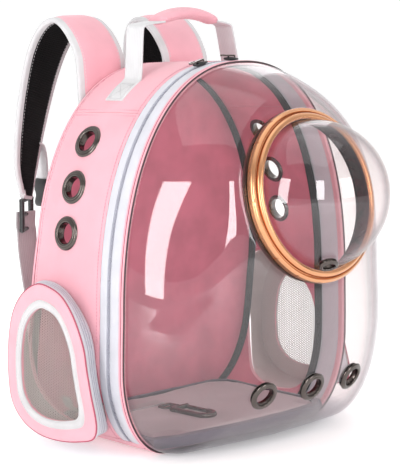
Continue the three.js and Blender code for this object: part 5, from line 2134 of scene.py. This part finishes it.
@dataclass
class Tether:
    """Safety tether: a web sewn to the side wall, with a swivel eye and a gated snap hook."""

    def build(self) -> None:
        """Builds and dresses the tether."""
        low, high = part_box("tether_strap")
        z = 0.0169
        knots = [Vector((low.x + 0.0015, low.y + 0.0085, 0.046)),
                 Vector((low.x + 0.009, low.y + 0.0085, 0.0335)),
                 Vector((low.x + 0.034, low.y + 0.010, z + 0.006)),
                 Vector((low.x + 0.062, low.y + 0.0110, z + 0.0022)),
                 Vector((-0.046, low.y + 0.0105, z + 0.0020)),
                 Vector((-0.030, low.y + 0.0100, z + 0.0022)),
                 Vector((high.x - 0.001, low.y + 0.0095, z + 0.0026))]
        web = flat_web(smooth_path(knots, 70), Vector((0.05, 1, 0)).normalized(), 0.014, 0.0018)
        present(web.object("tether_web", 60), Body.BAG, Slot.TAPE, (TAUPE_WEBBING,), "tether_strap")
        self.hook()

    def hook(self) -> None:
        """Builds the hook, its gate and the swivel eye."""
        turn = Matrix.Translation((-0.022, -0.020, 0.0169)) @ Matrix.Rotation(0.06, 4, "Z")
        half, top, ring_y, bar = 0.013, 0.029, -0.016, 0.006
        spine = [Vector((half - bar / 2, ring_y + bar * 0.8, 0.003))]
        spine += [Vector(((half - bar / 2) * math.cos(a), ring_y + (half - bar / 2) * math.sin(a), 0.003))
                  for a in (-math.pi * k / 16 for k in range(17))]
        spine += [Vector((-half + bar / 2, between(ring_y, top - bar * 1.5, k / 6), 0.003))
                  for k in range(1, 7)]
        spine += [Vector((0, top - bar * 0.9, 0.003))]
        path = [turn @ p for p in smooth_path(spine, 60)]
        form = Form().rod(path, 0.0029, 12, flat=1.0)
        base = [turn @ Vector((x, top - bar * 1.5, 0.003))
                for x in (-half + 0.0015, -0.004, 0.004, half - 0.0005)]
        form.rod(base, 0.0029, 12)
        neck = [turn @ Vector((0, y, 0.003)) for y in (top - bar * 1.2, top - bar * 0.4, top - 0.0002)]
        form.rod(neck, 0.0036, 14)
        present(form.object("hook_body", 60), Body.BAG, Slot.PLASTIC, (GUNMETAL,), "snap_hook")
        x = half - bar / 2
        upper, lower = top - 2 * bar - 0.0028, ring_y + bar + 0.0028
        gate = Form().rod([turn @ Vector((x, y, 0.003))
                           for y in (upper + 0.0012, upper, lower, lower - 0.0012)], 0.0022, 12)
        present(gate.object("hook_gate", 60), Body.GATE, Slot.METAL, (GUNMETAL,), "snap_gate")
        foot = top + 0.0003
        loop = [turn @ Vector((x, y, 0.002)) for x, y in smooth_loop(
            [(-0.0075, foot + 0.0022), (0.0, foot + 0.0018), (0.0075, foot + 0.0022),
             (0.0084, foot + 0.007), (0.0075, foot + 0.0118), (0.0, foot + 0.0122),
             (-0.0075, foot + 0.0118), (-0.0084, foot + 0.007)], 48)]
        eye = Form().rod(loop, 0.0017, 10, loop=True)
        present(eye.object("swivel_loop", 60), Body.BAG, Slot.METAL, (GUNMETAL,), "swivel_eye")


@dataclass
class Sliders:
    """Two zipper sliders at the crown, each with its pull lying down."""

    places: tuple[tuple[str, float], ...] = (("left", -0.035), ("right", 0.006))

    def build(self) -> None:
        """Builds and dresses the sliders."""
        for name, x in self.places:
            reach = next(r for r, p in zip(reversed(FORM.reaches), reversed(FORM.trace)) if p.x >= abs(x))
            distance = 2 * FORM.half_length - reach if x < 0 else reach
            out = FORM.out(distance)
            seat = FORM.wall(distance, FORM.flange + FORM.gap + 0.014)
            side = Vector((0, 1, 0))
            along = side.cross(out).normalized()
            if along.x < 0:
                along = -along
            body = Form()
            rows: Rows = []
            for share in (i / 12 for i in range(13)):
                u = between(-0.007, 0.007, share)
                wide = 0.0045 * (0.72 + 0.28 * math.sin(math.pi * (share * 0.8 + 0.2)))
                high = 0.0019 * (0.55 + 0.45 * math.sin(math.pi * min(1, share + 0.08)))
                rows.append([seat + along * u
                             + side * (wide * math.copysign(abs(math.cos(t)) ** 0.6, math.cos(t)))
                             + out * (0.0024 + high * math.copysign(abs(math.sin(t)) ** 0.7, math.sin(t)))
                             for t in (2 * math.pi * k / 16 for k in range(16))])
            body.skin(rows, loop_columns=True, capped=True)
            bridge = [seat + along * u + out * h
                      for u, h in ((0.005, 0.0040), (0.0035, 0.0054), (0.0, 0.0058),
                                   (-0.0035, 0.0052), (-0.0045, 0.0040))]
            body.rod(smooth_path(bridge, 14), 0.0007, 8)
            present(body.object(f"slider_{name}", 60), Body.BAG, Slot.PLASTIC, (BLACK,),
                    f"zipper_slider_{name}")
            tab = Form()
            edge = smooth_loop([(0.005, 0.0), (0.003, 0.0024), (-0.004, 0.0022), (-0.013, 0.0030),
                                (-0.0145, 0.0), (-0.013, -0.0030), (-0.004, -0.0022),
                                (0.003, -0.0024)], 40)
            inner = smooth_loop([(-0.0128, 0.0), (-0.0118, 0.0013), (-0.0085, 0.0013), (-0.0078, 0.0),
                                 (-0.0085, -0.0013), (-0.0118, -0.0013)], 40)
            levels = ((0.0, 0.0053), (0.08, 0.0049), (0.92, 0.0049), (1.0, 0.0053),
                      (1.0, 0.0061), (0.92, 0.0065), (0.08, 0.0065), (0.0, 0.0061))
            made: Rows = []
            for k in range(40):
                a, b = Vector(edge[k]), Vector(nearest(inner, edge[k]))
                made.append([seat + along * (a.lerp(b, s).x) + side * (a.lerp(b, s).y) + out * h
                             for s, h in levels])
            tab.skin(made, loop_rows=True, loop_columns=True)
            present(tab.object(f"pull_{name}", 60), Body.BAG, Slot.METAL, (GUNMETAL,), f"zipper_pull_{name}")


def nearest(ring: Sequence[tuple[float, float]], place: tuple[float, float]) -> tuple[float, float]:
    """Returns the point of a ring in the same direction from its middle as a place.

    Args:
        ring: the ring's points.
        place: the place.

    Returns:
        The ring's point.
    """
    cx = sum(p[0] for p in ring) / len(ring)
    cy = sum(p[1] for p in ring) / len(ring)
    want = math.atan2(place[1] - cy, place[0] - cx)
    return min(ring, key=lambda p: abs((math.atan2(p[1] - cy, p[0] - cx) - want + math.pi)
                                       % (2 * math.pi) - math.pi))


# Studio


@dataclass
class Studio:
    """Pale floor, soft lamps and the camera at the photograph's view."""

    eye: tuple[float, float, float] = (-1.19470, -1.24539, 0.43723)
    right: tuple[float, float, float] = (0.7196014, -0.6943874, 0.0)
    up: tuple[float, float, float] = (0.0941486, 0.0975673, 0.9907657)
    back: tuple[float, float, float] = (-0.6879752, -0.7129564, 0.1355851)
    lens: float = 130.08

    def camera(self) -> None:
        """Sets the camera."""
        lens = bpy.data.cameras.new("camera")
        lens.lens, lens.sensor_width = self.lens, 36
        lens.clip_start, lens.clip_end = 0.05, 400
        made = bpy.data.objects.new("camera", lens)
        turn = Matrix((self.right, self.up, self.back)).transposed().to_4x4()
        made.matrix_world = Matrix.Translation(self.eye) @ turn
        bpy.context.scene.collection.objects.link(made)
        bpy.context.scene.camera = made

    def lamp(self, name: str, place: Vector, aim: Vector, size: tuple[float, float], power: float,
             colour: Colour = (1, 1, 1)) -> None:
        """Adds one soft lamp that faces a point.

        Args:
            name: its name.
            place: where it stands.
            aim: the point that it faces.
            size: its width and height.
            power: its power in watts.
            colour: its colour.
        """
        light = bpy.data.lights.new(name, "AREA")
        light.shape = "RECTANGLE"
        light.size, light.size_y = size
        light.energy = power
        light.color = colour
        made = bpy.data.objects.new(name, light)
        made.location = place
        made.rotation_mode = "QUATERNION"
        made.rotation_quaternion = (aim - place).to_track_quat("-Z", "Y")
        bpy.context.scene.collection.objects.link(made)

    def floor(self) -> None:
        """Lays the pale floor."""
        reach = 90.0
        mesh = bpy.data.meshes.new("floor")
        mesh.from_pydata([(-reach, -reach, 0), (reach, -reach, 0), (reach, reach, 0), (-reach, reach, 0)], [],
                         [(0, 1, 2, 3)])
        made = bpy.data.objects.new("floor", mesh)
        made.location.z = -0.0004
        draft = ShaderSketch("pale_floor")
        clouds = draft.clouds(draft.place(Lay.FRAME), 0.4, 2.0)
        draft.set(Base_Color=draft.blend(clouds, (0.90, 0.90, 0.90), (0.91, 0.91, 0.91)), Roughness=0.9,
                  Specular_IOR_Level=0.1, Emission_Color=(1, 1, 1, 1), Emission_Strength=0.30)
        made.data.materials.append(draft.material)
        bpy.context.scene.collection.objects.link(made)

    def build(self) -> None:
        """Sets the whole studio."""
        self.camera()
        self.floor()
        aim = Vector((0, -0.05, 0.2))
        self.lamp("left_softbox", Vector((-1.50, -0.05, 0.52)), aim, (0.40, 0.92), 9.5)
        self.lamp("front_softbox", Vector((-1.50, -1.92, 0.80)), aim, (0.46, 1.2), 15)
        self.lamp("right_softbox", Vector((0.10, -2.35, 0.80)), aim, (0.72, 1.1), 13)
        self.lamp("top_light", Vector((-0.3, -0.2, 2.4)), aim, (2.4, 2.4), 14)
        self.lamp("back_light", Vector((1.6, 1.8, 1.6)), aim, (1.4, 1.4), 9)
        self.room()
        bpy.context.scene.view_settings.view_transform = "Standard"

    def room(self) -> None:
        """Surrounds the stage with a white room whose wall behind the camera is darker."""
        world = bpy.data.worlds.new("white_room")
        world.use_nodes = True
        shade = next(n for n in world.node_tree.nodes if n.type == "BACKGROUND")
        shade.inputs["Color"].default_value = (1, 1, 1, 1)
        nodes, links = world.node_tree.nodes, world.node_tree.links
        place = nodes.new("ShaderNodeTexCoord")
        facing = nodes.new("ShaderNodeVectorMath")
        facing.operation = "DOT_PRODUCT"
        facing.inputs[1].default_value = (0.69, 0.72, 0.0)
        light = nodes.new("ShaderNodeMapRange")
        light.interpolation_type = "SMOOTHSTEP"
        light.inputs["From Min"].default_value = -0.35
        light.inputs["From Max"].default_value = 0.55
        light.inputs["To Min"].default_value = 0.55
        light.inputs["To Max"].default_value = 1.07
        links.new(place.outputs["Generated"], facing.inputs[0])
        links.new(facing.outputs["Value"], light.inputs["Value"])
        links.new(light.outputs[0], shade.inputs["Strength"])
        bpy.context.scene.world = world


def main() -> None:
    """Builds the dressed carrier, sub-assembly by sub-assembly."""
    logging.basicConfig(level=logging.INFO, format="%(name)s: %(message)s")
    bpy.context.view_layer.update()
    Studio().build()
    gusset = Gusset()
    gusset.build()
    Rim().build()
    FrontZip().build()
    SeamBindings().build()
    BackPanel().build()
    DOOR.build()
    places = SHELL.build()
    Bubble().build()
    Eyelets().build(gusset, places)
    FloorPad().build()
    Handle().build()
    ShoulderStrap().build()
    Tether().build()
    Sliders().build()


if __name__ == "__main__":
    main()
